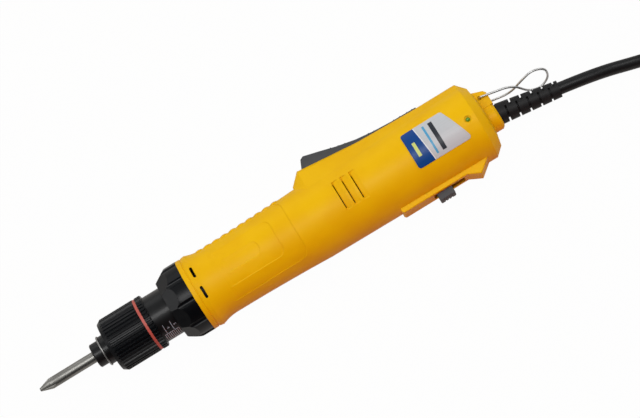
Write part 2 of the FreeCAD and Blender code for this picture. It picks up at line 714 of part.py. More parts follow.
def index_band():
    low = RING_R - RING_RIB_DEPTH - BAND_DEPTH
    return tube(RING_R - RING_RIB_DEPTH / 2, low, BAND_X, BAND_X + BAND_W)


def pusher():
    """Washer inside the torque ring, with the pins that reach the spring through the nose tube."""
    start = RING_FRONT + RING_WALL_FRONT + FACE_GAP
    washer = tube(TUBE_R - RUN_GAP * 4, COLLAR_FLANGE_R + 4 * RUN_GAP, start, start + PUSHER_W)
    pin = cylinder(PUSH_PIN_R, start + PUSHER_W, SPRING_SEAT_X, PUSH_PIN_PCR)
    return fused([washer] + ring_of(pin, PUSH_PIN_COUNT))


def spring_seat():
    inner = SPINDLE_R + 1.0
    return tube(TUBE_BORE_R - SLIDE_GAP, inner, SPRING_SEAT_X, SPRING_SEAT_X + SPRING_SEAT_W)


def nose_tube():
    """Tube with a bearing seat and pin holes in front, and a clamping flange behind."""
    pilot_end = RING_GEAR_X
    pilot_r = max(CARRIER_R + TUBE_EYE, TUBE_BORE_R)
    eye_r = SPINDLE_SHOULDER_R + TUBE_EYE
    flange_end = TUBE_FLANGE_X + TUBE_FLANGE_W
    wall_end = TUBE_FRONT + TUBE_FRONT_WALL
    seat_r = BEARING_R + SEAT_GAP
    body = turned([
        (TUBE_FRONT, eye_r), (TUBE_FRONT, TUBE_R), (TUBE_FLANGE_X, TUBE_R),
        (TUBE_FLANGE_X, TUBE_FLANGE_R), (flange_end, TUBE_FLANGE_R), (flange_end, RING_GEAR_R),
        (pilot_end, RING_GEAR_R), (pilot_end, pilot_r), (flange_end, pilot_r),
        (flange_end, TUBE_BORE_R), (wall_end, TUBE_BORE_R), (wall_end, seat_r), (BEARING_X, seat_r),
        (BEARING_X, eye_r)])
    hole = cylinder(PUSH_PIN_R + SLIDE_GAP, TUBE_FRONT - 1, wall_end + 1, PUSH_PIN_PCR)
    return body.cut(Part.makeCompound(ring_of(hole, PUSH_PIN_COUNT)))


def clutch_cam():
    """Disc on the spindle's hexagon, with a dimple for each clutch ball."""
    disc = cylinder(CAM_R, CAM_START, CAM_END)
    disc = disc.cut(hexagon(SPINDLE_HEX_AF + 2 * SEAT_GAP, CAM_START, CAM_END))
    return disc.cut(ball_ring(CLUTCH_BALL_R + SEAT_GAP, CLUTCH_BALL_PCR, BALL_X, CLUTCH_BALLS))


def clutch_balls():
    return ball_ring(CLUTCH_BALL_R, CLUTCH_BALL_PCR, BALL_X, CLUTCH_BALLS)


def involute(angle):
    return math.tan(angle) - angle


def gear_bar(teeth, outward, inward, thin, start, end):
    """Toothed bar along X with one tooth centred on +Y."""
    pressure = math.radians(PRESSURE_ANGLE)
    pitch_r = MODULE * teeth / 2
    base_r = pitch_r * math.cos(pressure)
    radii = [pitch_r - inward + (inward + outward) * i / 4 for i in range(5)]
    halves = []
    for r in radii:
        roll = math.acos(min(1.0, base_r / r))
        halves.append(math.pi / (2 * teeth) - thin / pitch_r + involute(pressure) - involute(roll))
    flank = list(zip(radii, [-h for h in halves])) + list(zip(radii, halves))[::-1]
    corners = []
    for i in range(teeth):
        for r, turn in flank:
            angle = 2 * math.pi * i / teeth + turn
            corners.append(V(start, r * math.cos(angle), r * math.sin(angle)))
    face = Part.Face(Part.makePolygon(corners + corners[:1]))
    return face.extrude(V(end - start, 0, 0))


def toothed(teeth, start, end):
    return gear_bar(teeth, ADDENDUM * MODULE, DEDENDUM * MODULE, BACKLASH, start, end)


def planet(start, turn):
    """Planet gear in its place, with one tooth pointing away from the axis."""
    gear = toothed(PLANET_TEETH, start, start + GEAR_FACE)
    gear = gear.cut(cylinder(PLANET_PIN_R + SEAT_GAP, start, start + GEAR_FACE))
    gear.translate(V(0, PLANET_PCR, 0))
    return about_x(gear, turn)


def carrier_disc(start):
    """Disc with a pin for each planet on its rear face."""
    end = start + CARRIER_W
    pin = cylinder(PLANET_PIN_R, end, end + PLANET_GAP + GEAR_FACE, PLANET_PCR)
    return fused([cylinder(CARRIER_R, start, end)] + ring_of(pin, PLANETS))


def carrier_2():
    """Output carrier: a dimple for each clutch ball, and a bore for the spindle's journal."""
    disc = carrier_disc(CARRIER_2_X).cut(cylinder(JOURNAL_R + SEAT_GAP, CARRIER_2_X, CARRIER_2_END))
    return disc.cut(ball_ring(CLUTCH_BALL_R + SEAT_GAP, CLUTCH_BALL_PCR, BALL_X, CLUTCH_BALLS))


def carrier_1():
    """First carrier, with the second stage's sun gear on its front."""
    sun = toothed(SUN_TEETH, CARRIER_2_END + FACE_GAP, CARRIER_1_X)
    return carrier_disc(CARRIER_1_X).fuse(sun)


def ring_gear():
    room = gear_bar(RING_TEETH, DEDENDUM * MODULE, ADDENDUM * MODULE, -BACKLASH, RING_GEAR_X, MOTOR_X)
    return cylinder(RING_GEAR_R, RING_GEAR_X, MOTOR_X).cut(room)


def motor_bell(start, direction):
    """Cup with a bearing hub; its rim points along the direction, 1 for +X."""
    seat_r = MOTOR_BEARING_R + SEAT_GAP
    seat = BELL_SEAT
    hub = seat + MOTOR_BEARING_W
    rim_r = MOTOR_R - STATOR_YOKE + BELL_STEP
    eye_r = SHAFT_R + BELL_EYE
    shape = [(0, eye_r), (0, MOTOR_R), (BELL_RIM, MOTOR_R), (BELL_RIM, rim_r), (BELL_WALL, rim_r),
             (BELL_WALL, BELL_HUB_R), (hub, BELL_HUB_R), (hub, seat_r), (seat, seat_r), (seat, eye_r)]
    return turned([(start + direction * x, r) for x, r in shape])


def stator():
    """Yoke and teeth of the laminated stator."""
    yoke = tube(MOTOR_R, MOTOR_R - STATOR_YOKE, STATOR_X, STATOR_END)
    half = STATOR_TOOTH_W / 2
    tooth = block(STATOR_X, STATOR_END, STATOR_BORE_R, MOTOR_R - STATOR_YOKE / 2, -half, half)
    shoe = block(STATOR_X, STATOR_END, STATOR_BORE_R - 0.5, STATOR_BORE_R + 0.9, -half * 2, half * 2)
    teeth = ring_of(tooth.fuse(shoe), STATOR_TEETH)
    return fused([yoke] + teeth).cut(cylinder(STATOR_BORE_R, STATOR_X, STATOR_END))


def windings():
    """A coil round each stator tooth."""
    half = STATOR_TOOTH_W / 2 + SEAT_GAP
    low = STATOR_BORE_R + 1.1
    high = MOTOR_R - STATOR_YOKE - 0.8
    outer = block(STATOR_X - COIL_OVERHANG, STATOR_END + COIL_OVERHANG, low, high,
                  -half - COIL_W, half + COIL_W)
    inner = block(STATOR_X - SEAT_GAP, STATOR_END + SEAT_GAP, low, high, -half, half)
    upright = [e for e in outer.Edges if abs(e.tangentAt(e.FirstParameter).y) > 0.99]
    coil = outer.makeFillet(COIL_OVERHANG * 0.9, upright).cut(inner)
    return Part.makeCompound(ring_of(coil, STATOR_TEETH))


def motor_shaft():
    """Shaft with the first stage's sun gear cut on its front end."""
    nose = CARRIER_1_END + FACE_GAP
    sun = toothed(SUN_TEETH, nose, MOTOR_X)
    return cylinder(SHAFT_R, nose, MOTOR_END + 3).fuse(sun)


def magnet():
    middle = (STATOR_X + STATOR_END) / 2
    return tube(MAGNET_R, SHAFT_R, middle - MAGNET_LENGTH / 2, middle + MAGNET_LENGTH / 2)


def sensor_board():
    return tube(SENSOR_BOARD_R, SHAFT_R + 2, MOTOR_END, MOTOR_END + SENSOR_BOARD_W)


def turned_wire(edges):
    """Solid turned about X from the edges of a closed outline in the XY plane."""
    face = Part.Face(Part.Wire(Part.sortEdges(edges)[0]))
    return face.revolve(ORIGIN, X_AXIS, 360)


def line(x0, r0, x1, r1):
    return Part.LineSegment(V(x0, r0, 0), V(x1, r1, 0)).toShape()


def chain(points):
    return [line(*a, *b) for a, b in zip(points, points[1:])]


def sector(outline, half_angle, middle):
    """Part of a turned solid, from (x, r) corners, about an angle measured from +Y toward +Z."""
    corners = [V(x, r, 0) for x, r in outline]
    face = Part.Face(Part.makePolygon(corners + corners[:1]))
    face.rotate(ORIGIN, X_AXIS, middle - half_angle)
    return face.revolve(ORIGIN, X_AXIS, 2 * half_angle)


def lock_nut():
    """Nut with a rounded, faceted front and flutes round its rim."""
    mouth = TUBE_R + SEAT_GAP
    bore = NECK_R + SEAT_GAP
    shoulder = V(NUT_SHOULDER_X, NUT_R, 0)
    front = V(NUT_FRONT, NUT_FRONT_R, 0)
    edges = [arc_from(shoulder, V(-1, 0, 0), front)]
    edges += chain([(NUT_SHOULDER_X, NUT_R), (NUT_REAR, NUT_R), (NUT_REAR, bore), (TUBE_FLANGE_X, bore),
                    (TUBE_FLANGE_X, mouth), (NUT_FRONT, mouth), (NUT_FRONT, NUT_FRONT_R)])
    body = turned_wire(edges)
    ends = []
    for x, flat in ((NUT_FRONT, NUT_FACET_R), (NUT_FACET_END, NUT_R)):
        corner = flat / math.cos(math.pi / NUT_FLUTES)
        corners = []
        for i in range(NUT_FLUTES):
            angle = math.radians(NUT_FIRST_FLUTE + 360.0 * i / NUT_FLUTES)
            corners.append(V(x, corner * math.cos(angle), corner * math.sin(angle)))
        ends.append(Part.makePolygon(corners + corners[:1]))
    facets = Part.makeLoft(ends, True, True).fuse(cylinder(NUT_R + 1, NUT_FACET_END, NUT_REAR))
    flute_r = NUT_R + NUT_FLUTE_R - NUT_FLUTE_DEPTH
    flute = cylinder(NUT_FLUTE_R, NUT_FLUTE_X, NUT_REAR, flute_r)
    return body.common(facets).cut(Part.makeCompound(ring_of(flute, NUT_FLUTES, NUT_FIRST_FLUTE)))


def shell_form(grow):
    """Outer form of the closed shells, grown by the given amount."""
    waist = V(WAIST_X, WAIST_R + grow, 0)
    lip = V(LIP_X, LIP_R + grow, 0)
    shoulder = V(SHOULDER_X, SHOULDER_R + grow, 0)
    band = FRONT_BAND_R + grow
    edges = chain([(SHOULDER_X, SHOULDER_R + grow), (TAIL_X, TAIL_R + grow),
                   (TAIL_CHAMFER_X, TAIL_CHAMFER_R + grow), (SHELL_REAR, TAIL_FACE_R), (SHELL_REAR, 0),
                   (SHELL_FRONT, 0), (SHELL_FRONT, band), (BAND_GROOVE_X - BAND_GROOVE, band),
                   (BAND_GROOVE_X, band - BAND_GROOVE), (BAND_GROOVE_X + BAND_GROOVE, band),
                   (LIP_X, LIP_R + grow)])
    edges += [arc_from(waist, V(-1, 0, 0), lip), arc_from(waist, V(1, 0, 0), shoulder)]
    return turned_wire(edges)


def shell_radius(x):
    """Outer radius of the shells between the waist and the tail."""
    if x < SHOULDER_X:
        return WAIST_R + (SHOULDER_R - WAIST_R) * ((x - WAIST_X) / (SHOULDER_X - WAIST_X)) ** 2
    return SHOULDER_R + (TAIL_R - SHOULDER_R) * (x - SHOULDER_X) / (TAIL_X - SHOULDER_X)


def hump_section(x, base, rise):
    """Flat top with round corners, joined by tangent sides to a circle inside the shells."""
    radius = (min(shell_radius(x), TAIL_R) if x <= TAIL_X else base) - HUMP_SINK
    top = base + rise
    corner_y = top - HUMP_CORNER_R
    reach = math.hypot(corner_y, HUMP_FLAT)
    lean = math.atan2(HUMP_FLAT, corner_y) + math.acos((radius - HUMP_CORNER_R) / reach)

    def on_circle(y, z, r, angle):
        return V(x, y + r * math.cos(angle), z + r * math.sin(angle))

    low = on_circle(0, 0, radius, lean)
    high = on_circle(corner_y, HUMP_FLAT, HUMP_CORNER_R, lean)
    middle = on_circle(corner_y, HUMP_FLAT, HUMP_CORNER_R, lean / 2)
    end = V(x, top, HUMP_FLAT)

    def far(p):
        return V(p.x, p.y, -p.z)

    return Part.Wire([
        Part.Arc(end, middle, high).toShape(), Part.LineSegment(high, low).toShape(),
        Part.Arc(low, V(x, -radius, 0), far(low)).toShape(), Part.LineSegment(far(low), far(high)).toShape(),
        Part.Arc(far(high), far(middle), far(end)).toShape(), Part.LineSegment(far(end), end).toShape()])


def finger_ribs():
    """Round ribs on the lever side of the grip."""
    ribs = []
    for i in range(RIB_COUNT):
        x = RIB_FIRST_X + RIB_PITCH * i
        r = shell_radius(x)
        left = V(x - RIB_W / 2, r - RIB_SINK, 0)
        right = V(x + RIB_W / 2, r - RIB_SINK, 0)
        top = V(x, r + RIB_HEIGHT, 0)
        crown = Part.Arc(left, top, right).toShape()
        face = Part.Face(Part.Wire([crown, Part.LineSegment(right, left).toShape()]))
        face.rotate(ORIGIN, X_AXIS, -RIB_HALF_ANGLE)
        ribs.append(face.revolve(ORIGIN, X_AXIS, 2 * RIB_HALF_ANGLE))
    return ribs


def rail():
    """Rail for the direction knob, with a hook behind it."""
    solid = plate([
        (RAIL_FRONT, -SHOULDER_R + 1.5), (RAIL_FRONT, -RAIL_FLOOR + 1.0), (RAIL_FRONT + 1.0, -RAIL_FLOOR),
        (RAIL_HOOK_START, -RAIL_FLOOR), (RAIL_HOOK_X, -RAIL_HOOK_Y), (RAIL_REAR, -TAIL_R + 1.0),
        (RAIL_REAR, -TAIL_R + 2.6)], -RAIL_HALF_W, RAIL_HALF_W)
    rims = [e for e in solid.Edges if e.BoundBox.ZLength < 0.01 and e.BoundBox.YMax < -TAIL_R + 1.5
            and e.BoundBox.XLength > 2]
    return solid.makeFillet(0.7, rims)


def rear_boss():
    body = turned([(SHELL_REAR - 1.5, 0), (SHELL_REAR - 1.5, BOSS_R), (BOSS_END - BOSS_ROUND, BOSS_R),
                   (BOSS_END, BOSS_R - BOSS_ROUND), (BOSS_END, 0)])
    body.translate(V(0, BOSS_Y, 0))
    return body


def lug():
    return plate([(LUG_FRONT, LUG_LOW), (LUG_FRONT, LUG_TOP_FRONT), (LUG_REAR - 1.2, LUG_TOP_REAR),
                  (LUG_REAR, LUG_TOP_REAR - 1.5), (LUG_REAR, LUG_LOW)], -LUG_HALF_W, LUG_HALF_W)


def cavity():
    """Room for the gears, the motor and the electronics, and the lever's opening."""
    room = turned([
        (NECK_FRONT - 1, 0), (NECK_FRONT - 1, GEAR_ROOM_R), (MOTOR_X, GEAR_ROOM_R), (MOTOR_X, MOTOR_ROOM_R),
        (MOTOR_END + 2, MOTOR_ROOM_R), (MOTOR_END + 6, SHOULDER_R - SHELL_WALL),
        (SHOULDER_X, SHOULDER_R - SHELL_WALL), (TAIL_X - 1, TAIL_R - SHELL_WALL),
        (REAR_WALL_X, TAIL_CHAMFER_R - SHELL_WALL), (REAR_WALL_X, 0)])
    half = LEVER_HALF_W + SHELL_GAP
    opening = block(LEVER_OPENING_X, LEVER_TOP[-1][0] + 2 * SHELL_GAP, 0, FAR, -half, half)
    toe_low = LEVER_TOE_TOP - LEVER_TOE_T - TOE_ROOM
    toe_room = block(LEVER_TOP[0][0] - LEVER_TOE - LEVER_FRONT_GAP, LEVER_OPENING_X + 1, toe_low,
                     LEVER_TOE_TOP + SHELL_GAP, -half, half)
    knob_half = KNOB_HALF_W + SHELL_GAP
    slot = block(KNOB_X - KNOB_LENGTH / 2 - 1.6, KNOB_X + KNOB_LENGTH / 2 + KNOB_TRAVEL + SHELL_GAP,
                 -FAR, KNOB_FOOT - KNOB_FOOT_Y, -knob_half, knob_half)
    bore = cylinder(RELIEF_ROOT_R + RUN_GAP, REAR_WALL_X - 1, BOSS_END + 1, BOSS_Y)
    return [room, opening, toe_room, slot, bore]


def panel_slope(step, front, rear, half):
    """Slope on which a grip step runs out toward the lever."""
    sections = []
    for i in range(PANEL_STATIONS):
        x = front - PANEL_FADE + (rear - front + 2 * PANEL_FADE) * i / (PANEL_STATIONS - 1)
        high_r = shell_radius(x) - PANEL_STEP * step
        low_r = high_r - PANEL_STEP
        edge = math.acos(half / high_r)
        foot = edge + PANEL_FADE / high_r
        high = V(x, half, high_r * math.sin(edge))
        low = V(x, low_r * math.cos(foot), low_r * math.sin(foot))
        outer = high + (high - low) * 5
        sections.append(Part.makePolygon([outer, low, V(x, 0, 0), outer]))
    return Part.makeLoft(sections, True, True)


def grip_panel(step):
    """Cutter for one nested step of the side grip, which fades out in front and toward the lever."""
    half = WAIST_R * math.sin(math.radians(PANEL_HALF_ANGLES[step]))
    front = PANEL_FRONT + (PANEL_FADE + PANEL_LAND) * step
    rear = PANEL_REARS[step]
    outline = block(front, rear, -half, half, 0, FAR)
    upright = [e for e in outline.Edges if e.BoundBox.ZLength > FAR / 2]
    corners = [e for e in upright if e.BoundBox.XMin > front + 1]
    outline = outline.makeFillet(min(PANEL_CORNER, half * 0.8), corners)
    depth = PANEL_STEP * (step + 1)
    foot = front + PANEL_FADE
    front_slope = turned([
        (front - PANEL_FADE, 0), (front - PANEL_FADE, shell_radius(front) - depth + 2 * PANEL_STEP),
        (foot, shell_radius(foot) - depth), (foot, 0)])
    panel = outline.cut(shell_form(-depth)).cut(front_slope)
    return panel.cut(panel_slope(step, front, rear, half))


def vent():
    """Round-ended slot through the front band of a shell, toward +Y."""
    inner, outer = GEAR_ROOM_R - 1, LIP_R + 2
    reach = (VENT_LENGTH - VENT_W) / 2
    slot = block(VENT_X - VENT_W / 2, VENT_X + VENT_W / 2, inner, outer, -reach, reach)
    ends = [Part.makeCylinder(VENT_W / 2, outer - inner, V(VENT_X, inner, side * reach), Y_AXIS)
            for side in (-1, 1)]
    return fused([slot] + ends)


def side_cuts():
    """Grip panels, louvers and front vents of one shell, about +Z."""
    cuts = [grip_panel(i) for i in range(len(PANEL_REARS))]
    for i in range(LOUVER_COUNT):
        x = LOUVER_X + LOUVER_PITCH * i
        r = shell_radius(x)
        half = math.degrees(LOUVER_LENGTH / 2 / r)
        wedge = [(x, r - LOUVER_DEPTH), (x, r + 2), (x + LOUVER_RUN, r + 2), (x + LOUVER_RUN, r)]
        cuts.append(sector(wedge, half, 90))
        slit = [(x, r - 5), (x, r), (x + LOUVER_SLOT, r), (x + LOUVER_SLOT, r - 5)]
        cuts.append(sector(slit, half - 2, 90))
    return cuts + [about_x(vent(), 90 + side * VENT_ANGLE) for side in (-1, 1)]


def half_shell():
    """The +Z half of the shells, before its screw holes."""
    neck = cylinder(NECK_R, NECK_FRONT, SHELL_FRONT + 1)
    hump = Part.makeLoft([hump_section(*station) for station in HUMP_STATIONS], True, True)
    solid = fused([shell_form(0), neck, hump, rail(), rear_boss(), lug()] + finger_ribs())
    inside = shell_form(-SHELL_WALL / 4)
    pivot = V(LEVER_PIVOT_X, LEVER_PIVOT_Y, 0)
    bosses = [Part.makeCylinder(PIVOT_BOSS_R, LEVER_PIN_HALF + 1, pivot, Z_AXIS).common(inside)]
    for x, y in SCREWS:
        bosses.append(Part.makeCylinder(SCREW_BOSS_R, FAR, V(x, y, 0), Z_AXIS).common(inside))
    upper = solid.common(block(0, LUG_REAR + 1, -FAR, FAR, 0, FAR))
    room = cavity()
    upper = upper.cut(room[0])
    upper = upper.multiFuse(bosses)
    pin_hole = Part.makeCylinder(LEVER_PIN_R + SEAT_GAP, LEVER_PIN_HALF, pivot, Z_AXIS)
    bail_z = LUG_HALF_W - BAIL_DEPTH - SHELL_GAP
    bail_hole = Part.makeCylinder(BAIL_WIRE_R + SEAT_GAP, LUG_HALF_W, V(BAIL_X, BAIL_Y, bail_z), Z_AXIS)
    mouth_z = LUG_HALF_W - BAIL_MOUTH_DEPTH
    bail_mouth = Part.makeCylinder(BAIL_MOUTH_R, LUG_HALF_W, V(BAIL_X, BAIL_Y, mouth_z), Z_AXIS)
    for cutter in room[1:] + [pin_hole, bail_hole, bail_mouth] + side_cuts():
        upper = upper.cut(cutter)
    return upper


def upper_shell(half):
    """Label-side shell: screw pilots, the lever spring's shelf and the lamp's hole."""
    half_shelf = LEVER_SPRING_R + SPRING_SHELF_EDGE
    shelf = block(LEVER_SPRING_X - half_shelf, LEVER_SPRING_X + half_shelf, SPRING_SHELF_Y - SPRING_SHELF_T,
                  SPRING_SHELF_Y, -half_shelf, SHOULDER_R - SHELL_WALL)
    shell = half.fuse(shelf)
    for x, y in SCREWS:
        shell = shell.cut(Part.makeCylinder(SCREW_R + SEAT_GAP, SCREW_GRIP + 0.5, V(x, y, 0), Z_AXIS))
    shell = shell.cut(Part.makeCylinder(LED_R + SEAT_GAP, FAR, V(LED_X, LED_Y, 0), Z_AXIS))
    return shell.cut(Part.makeCylinder(LED_FLANGE_R, FAR, V(LED_X, LED_Y, TAIL_R - LED_RECESS), Z_AXIS))


def lower_shell(half):
    """The other shell, with the screws' clearance holes and head recesses."""
    shell = half.mirror(ORIGIN, Z_AXIS)
    for x, y in SCREWS:
        for radius, top in ((SCREW_R, 0), (SCREW_HEAD_R, SCREW_SEAT_Z)):
            shell = shell.cut(Part.makeCylinder(radius + SLIDE_GAP, FAR, V(x, y, top - FAR), Z_AXIS))
    return shell


def shell_screws():
    """Cross-recessed screws that hold the shells together."""
    screws = []
    for x, y in SCREWS:
        shank = Part.makeCylinder(SCREW_R, SCREW_GRIP - SCREW_SEAT_Z, V(x, y, SCREW_SEAT_Z), Z_AXIS)
        head = Part.makeCylinder(SCREW_HEAD_R, SCREW_HEAD_H, V(x, y, SCREW_SEAT_Z - SCREW_HEAD_H), Z_AXIS)
        screw = shank.fuse(head)
        low = SCREW_SEAT_Z - SCREW_HEAD_H
        arm = SCREW_HEAD_R * 0.7
        for a, b in ((arm, 0.35), (0.35, arm)):
            screw = screw.cut(block(x - a, x + a, y - b, y + b, low, low + SCREW_HEAD_H * 0.6))
        screws.append(screw)
    return Part.makeCompound(screws)


def trigger_lever():
    """Lever with a stop toe in front, a nub over the switch and a hub on its pin."""
    front = LEVER_TOP[0][0]
    rear = LEVER_TOP[-1][0]
    hub_low = LEVER_PIVOT_Y - LEVER_HUB_R
    toe_low = LEVER_TOE_TOP - LEVER_TOE_T
    outline = list(LEVER_TOP) + [
        (rear, LEVER_PIVOT_Y), (LEVER_PIVOT_X + LEVER_HUB_R, hub_low + 1), (LEVER_PIVOT_X, hub_low),
        (LEVER_PIVOT_X - LEVER_HUB_R, hub_low + 1), (SWITCH_X + NUB_W, LEVER_UNDER - 1.5),
        (SWITCH_X + NUB_W / 2, NUB_Y), (SWITCH_X - NUB_W / 2, NUB_Y), (SWITCH_X - NUB_W, LEVER_UNDER - 1),
        (SWITCH_X - 4 * NUB_W, LEVER_UNDER), (front, LEVER_UNDER), (front, toe_low),
        (front - LEVER_TOE, toe_low), (front - LEVER_TOE, LEVER_TOE_TOP), (front, LEVER_TOE_TOP)]
    body = plate(outline, -LEVER_HALF_W, LEVER_HALF_W)
    rims = [e for e in body.Edges if e.BoundBox.ZLength < 0.01 and e.BoundBox.YMin > LEVER_TOP[-1][1] - 0.1]
    body = body.makeFillet(0.8, rims)
    bars = []
    for x in LEVER_RIB_XS:
        y = lever_top_at(x)
        start = V(x, y, 1 - LEVER_HALF_W)
        bars.append(Part.makeCylinder(LEVER_RIB_R, 2 * LEVER_HALF_W - 2, start, Z_AXIS))
    body = fused([body] + bars)
    below = V(LEVER_PIVOT_X, LEVER_PIVOT_Y, -FAR)
    return body.cut(Part.makeCylinder(LEVER_PIN_R + SEAT_GAP, 2 * FAR, below, Z_AXIS))


def lever_top_at(x):
    """Height of the lever's top line."""
    for (x0, y0), (x1, y1) in zip(LEVER_TOP, LEVER_TOP[1:]):
        if x0 <= x <= x1:
            return y0 + (y1 - y0) * (x - x0) / (x1 - x0)
    return LEVER_TOP[-1][1]


def lever_pin():
    half = LEVER_PIN_HALF - SEAT_GAP
    return Part.makeCylinder(LEVER_PIN_R, 2 * half, V(LEVER_PIVOT_X, LEVER_PIVOT_Y, -half), Z_AXIS)


def lever_spring():
    """Helical spring between the shelf and the lever."""
    length = LEVER_UNDER - SPRING_SHELF_Y
    spring = helical_spring(LEVER_SPRING_R, LEVER_SPRING_WIRE, 0, length, LEVER_SPRING_TURNS)
    spring.rotate(ORIGIN, Z_AXIS, 90)
    spring.translate(V(LEVER_SPRING_X, SPRING_SHELF_Y, 0))
    return spring


def lever_switch():
    """Switch body on the control board, bored for its plunger."""
    half = SWITCH_LENGTH / 2
    body = block(SWITCH_X - half, SWITCH_X + half, SWITCH_TOP - SWITCH_HEIGHT, SWITCH_TOP, BOARD_Z,
                 BOARD_Z + SWITCH_THICK)
    room = PLUNGER_DEPTH + PLUNGER_REACH
    low = V(SWITCH_X, SWITCH_TOP - room, PLUNGER_Z)
    return body.cut(Part.makeCylinder(PLUNGER_R + SEAT_GAP, room, low, Y_AXIS))


def switch_plunger():
    low = V(SWITCH_X, SWITCH_TOP - PLUNGER_DEPTH, PLUNGER_Z)
    return Part.makeCylinder(PLUNGER_R, PLUNGER_REACH + PLUNGER_DEPTH, low, Y_AXIS)


def direction_knob():
    """Thumb knob with a stem through the rail and a foot inside the shells."""
    half = KNOB_LENGTH / 2
    head = block(KNOB_X - half, KNOB_X + half, -KNOB_FACE, -KNOB_FOOT_Y, -KNOB_HALF_W, KNOB_HALF_W)
    rims = [e for e in head.Edges if e.BoundBox.YMax < -KNOB_FACE + 0.01]
    head = head.makeFillet(KNOB_ROUND, rims)
    foot = block(KNOB_X - half - 1.5, KNOB_X + half + 1.5, -KNOB_FOOT_Y, -KNOB_FOOT_Y + KNOB_FOOT,
                 -KNOB_HALF_W - 1.6, KNOB_HALF_W + 1.6)
    groove = [block(KNOB_X + s - 0.45, KNOB_X + s + 0.45, -KNOB_FACE - 1, -KNOB_FACE + 0.5, -10, 10)
              for s in (-1.8, 0, 1.8)]
    return head.fuse(foot).cut(Part.makeCompound(groove))


def direction_switch():
    """Slide switch under the knob, standing on the control board."""
    start = KNOB_X + KNOB_TRAVEL / 2 - DIRECTION_SWITCH_LENGTH / 2
    top = -KNOB_FOOT_Y + KNOB_FOOT + SHELL_GAP
    end = start + DIRECTION_SWITCH_LENGTH
    return block(start, end, top, top + DIRECTION_SWITCH_W, BOARD_Z, DIRECTION_SWITCH_TOP)


def control_board():
    return block(BOARD_FRONT, BOARD_REAR, BOARD_LOW, BOARD_HIGH, BOARD_Z - BOARD_T, BOARD_Z)


def board_part(size, x, y):
    """Box on the board, from its front end and lower edge."""
    return block(x, x + size[0], y, y + size[1], BOARD_Z, BOARD_Z + size[2])


def board_parts():
    """Power transistors in two rows, a controller chip, capacitors and a connector."""
    low = BOARD_LOW + BOARD_MARGIN
    high = BOARD_HIGH - BOARD_MARGIN
    parts = []
    for i in range(POWER_CHIPS):
        x = BOARD_FRONT + 2 * BOARD_MARGIN + POWER_CHIP_PITCH * i
        parts.append(board_part(POWER_CHIP, x, low))
        parts.append(board_part(POWER_CHIP, x, high - POWER_CHIP[1]))
    parts.append(board_part(CONTROL_CHIP, BOARD_FRONT + CONTROL_CHIP_X, low))
    for i in range(2):
        place = V(BOARD_FRONT + BOARD_MARGIN + CAPACITOR_R + CAPACITOR_PITCH * i, (low + high) / 2, BOARD_Z)
        parts.append(Part.makeCylinder(CAPACITOR_R, CAPACITOR_H, place, Z_AXIS))
    parts.append(board_part(CONNECTOR, BOARD_REAR - BOARD_MARGIN - CONNECTOR[0], CONNECTOR_Y))
    return Part.makeCompound(parts)


def status_lamp():
    """Small lamp with a round lens and a flange inside the shell."""
    low = TAIL_R - SHELL_WALL - 0.4
    stem = Part.makeCylinder(LED_R, LED_TOP - low, V(LED_X, LED_Y, low), Z_AXIS)
    flange = Part.makeCylinder(LED_FLANGE_R, 1.4, V(LED_X, LED_Y, low - 1.4), Z_AXIS)
    lens = Part.makeSphere(LED_R, V(LED_X, LED_Y, LED_TOP))
    return fused([flange, stem, lens])


def rating_label():
    """Thin plate on the upper shell, with a slanted rear edge."""
    half = TAIL_R * math.sin(math.radians(LABEL_HALF_ANGLE))
    outline = plate([(LABEL_FRONT, -half), (LABEL_REAR, -half), (LABEL_REAR - LABEL_SLANT, half),
                     (LABEL_FRONT, half)], 0, FAR)
    corners = [e for e in outline.Edges if e.BoundBox.ZLength > FAR / 2]
    outline = outline.makeFillet(LABEL_CORNER, corners)
    return outline.common(shell_form(LABEL_GLUE + LABEL_T)).cut(shell_form(LABEL_GLUE))


def strain_relief():
    """Ribbed sleeve that leans toward -Y, on a neck and flange held in the shells."""
    taper = Part.makeCone(RELIEF_ROOT_R, RELIEF_END_R, RELIEF_LENGTH, ORIGIN, X_AXIS)
    slots = []
    for row in range(2):
        for i in range(RELIEF_SLOTS):
            x = RELIEF_FIRST_SLOT + RELIEF_PITCH * (i + row / 2)
            end = x + RELIEF_SLOT_W
            section = [(x, RELIEF_CORE_R), (x, RELIEF_FLANGE_R), (end, RELIEF_FLANGE_R),
                       (end, RELIEF_CORE_R)]
            slots.append(sector(section, RELIEF_SLOT_ANGLE / 2, RELIEF_SLOT_MIDDLE + 180 * row))
    taper = taper.cut(Part.makeCompound(slots))
    taper.rotate(ORIGIN, Z_AXIS, RELIEF_ANGLE)
    taper.translate(V(RELIEF_X, BOSS_Y, 0))
    flange_end = REAR_WALL_X - SEAT_GAP
    neck = cylinder(RELIEF_NECK_R, flange_end - 1, RELIEF_X + 1, BOSS_Y)
    flange = cylinder(RELIEF_FLANGE_R, flange_end - RELIEF_FLANGE_W, flange_end, BOSS_Y)
    return fused([taper, neck, flange])


def cord_leads():
    """Four wires from the strain relief to the connector on the control board."""
    start = REAR_WALL_X - SEAT_GAP - RELIEF_FLANGE_W
    wires = []
    for i in range(4):
        y = BOSS_Y - 2.4 + 1.6 * i
        target = -1.5 + 2.4 * i
        wire, _ = rounded_wire([(start, y, 0), (start - 5, y, -0.5), (start - 11, target, BOARD_Z + 2.0),
                                (BOARD_REAR - 2, target, BOARD_Z + 2.4)])
        wires.append(swept(wire, LEAD_R))
    return Part.makeCompound(wires)


def bail():
    wire, _ = rounded_wire(BAIL_POINTS)
    return swept(wire, BAIL_WIRE_R)


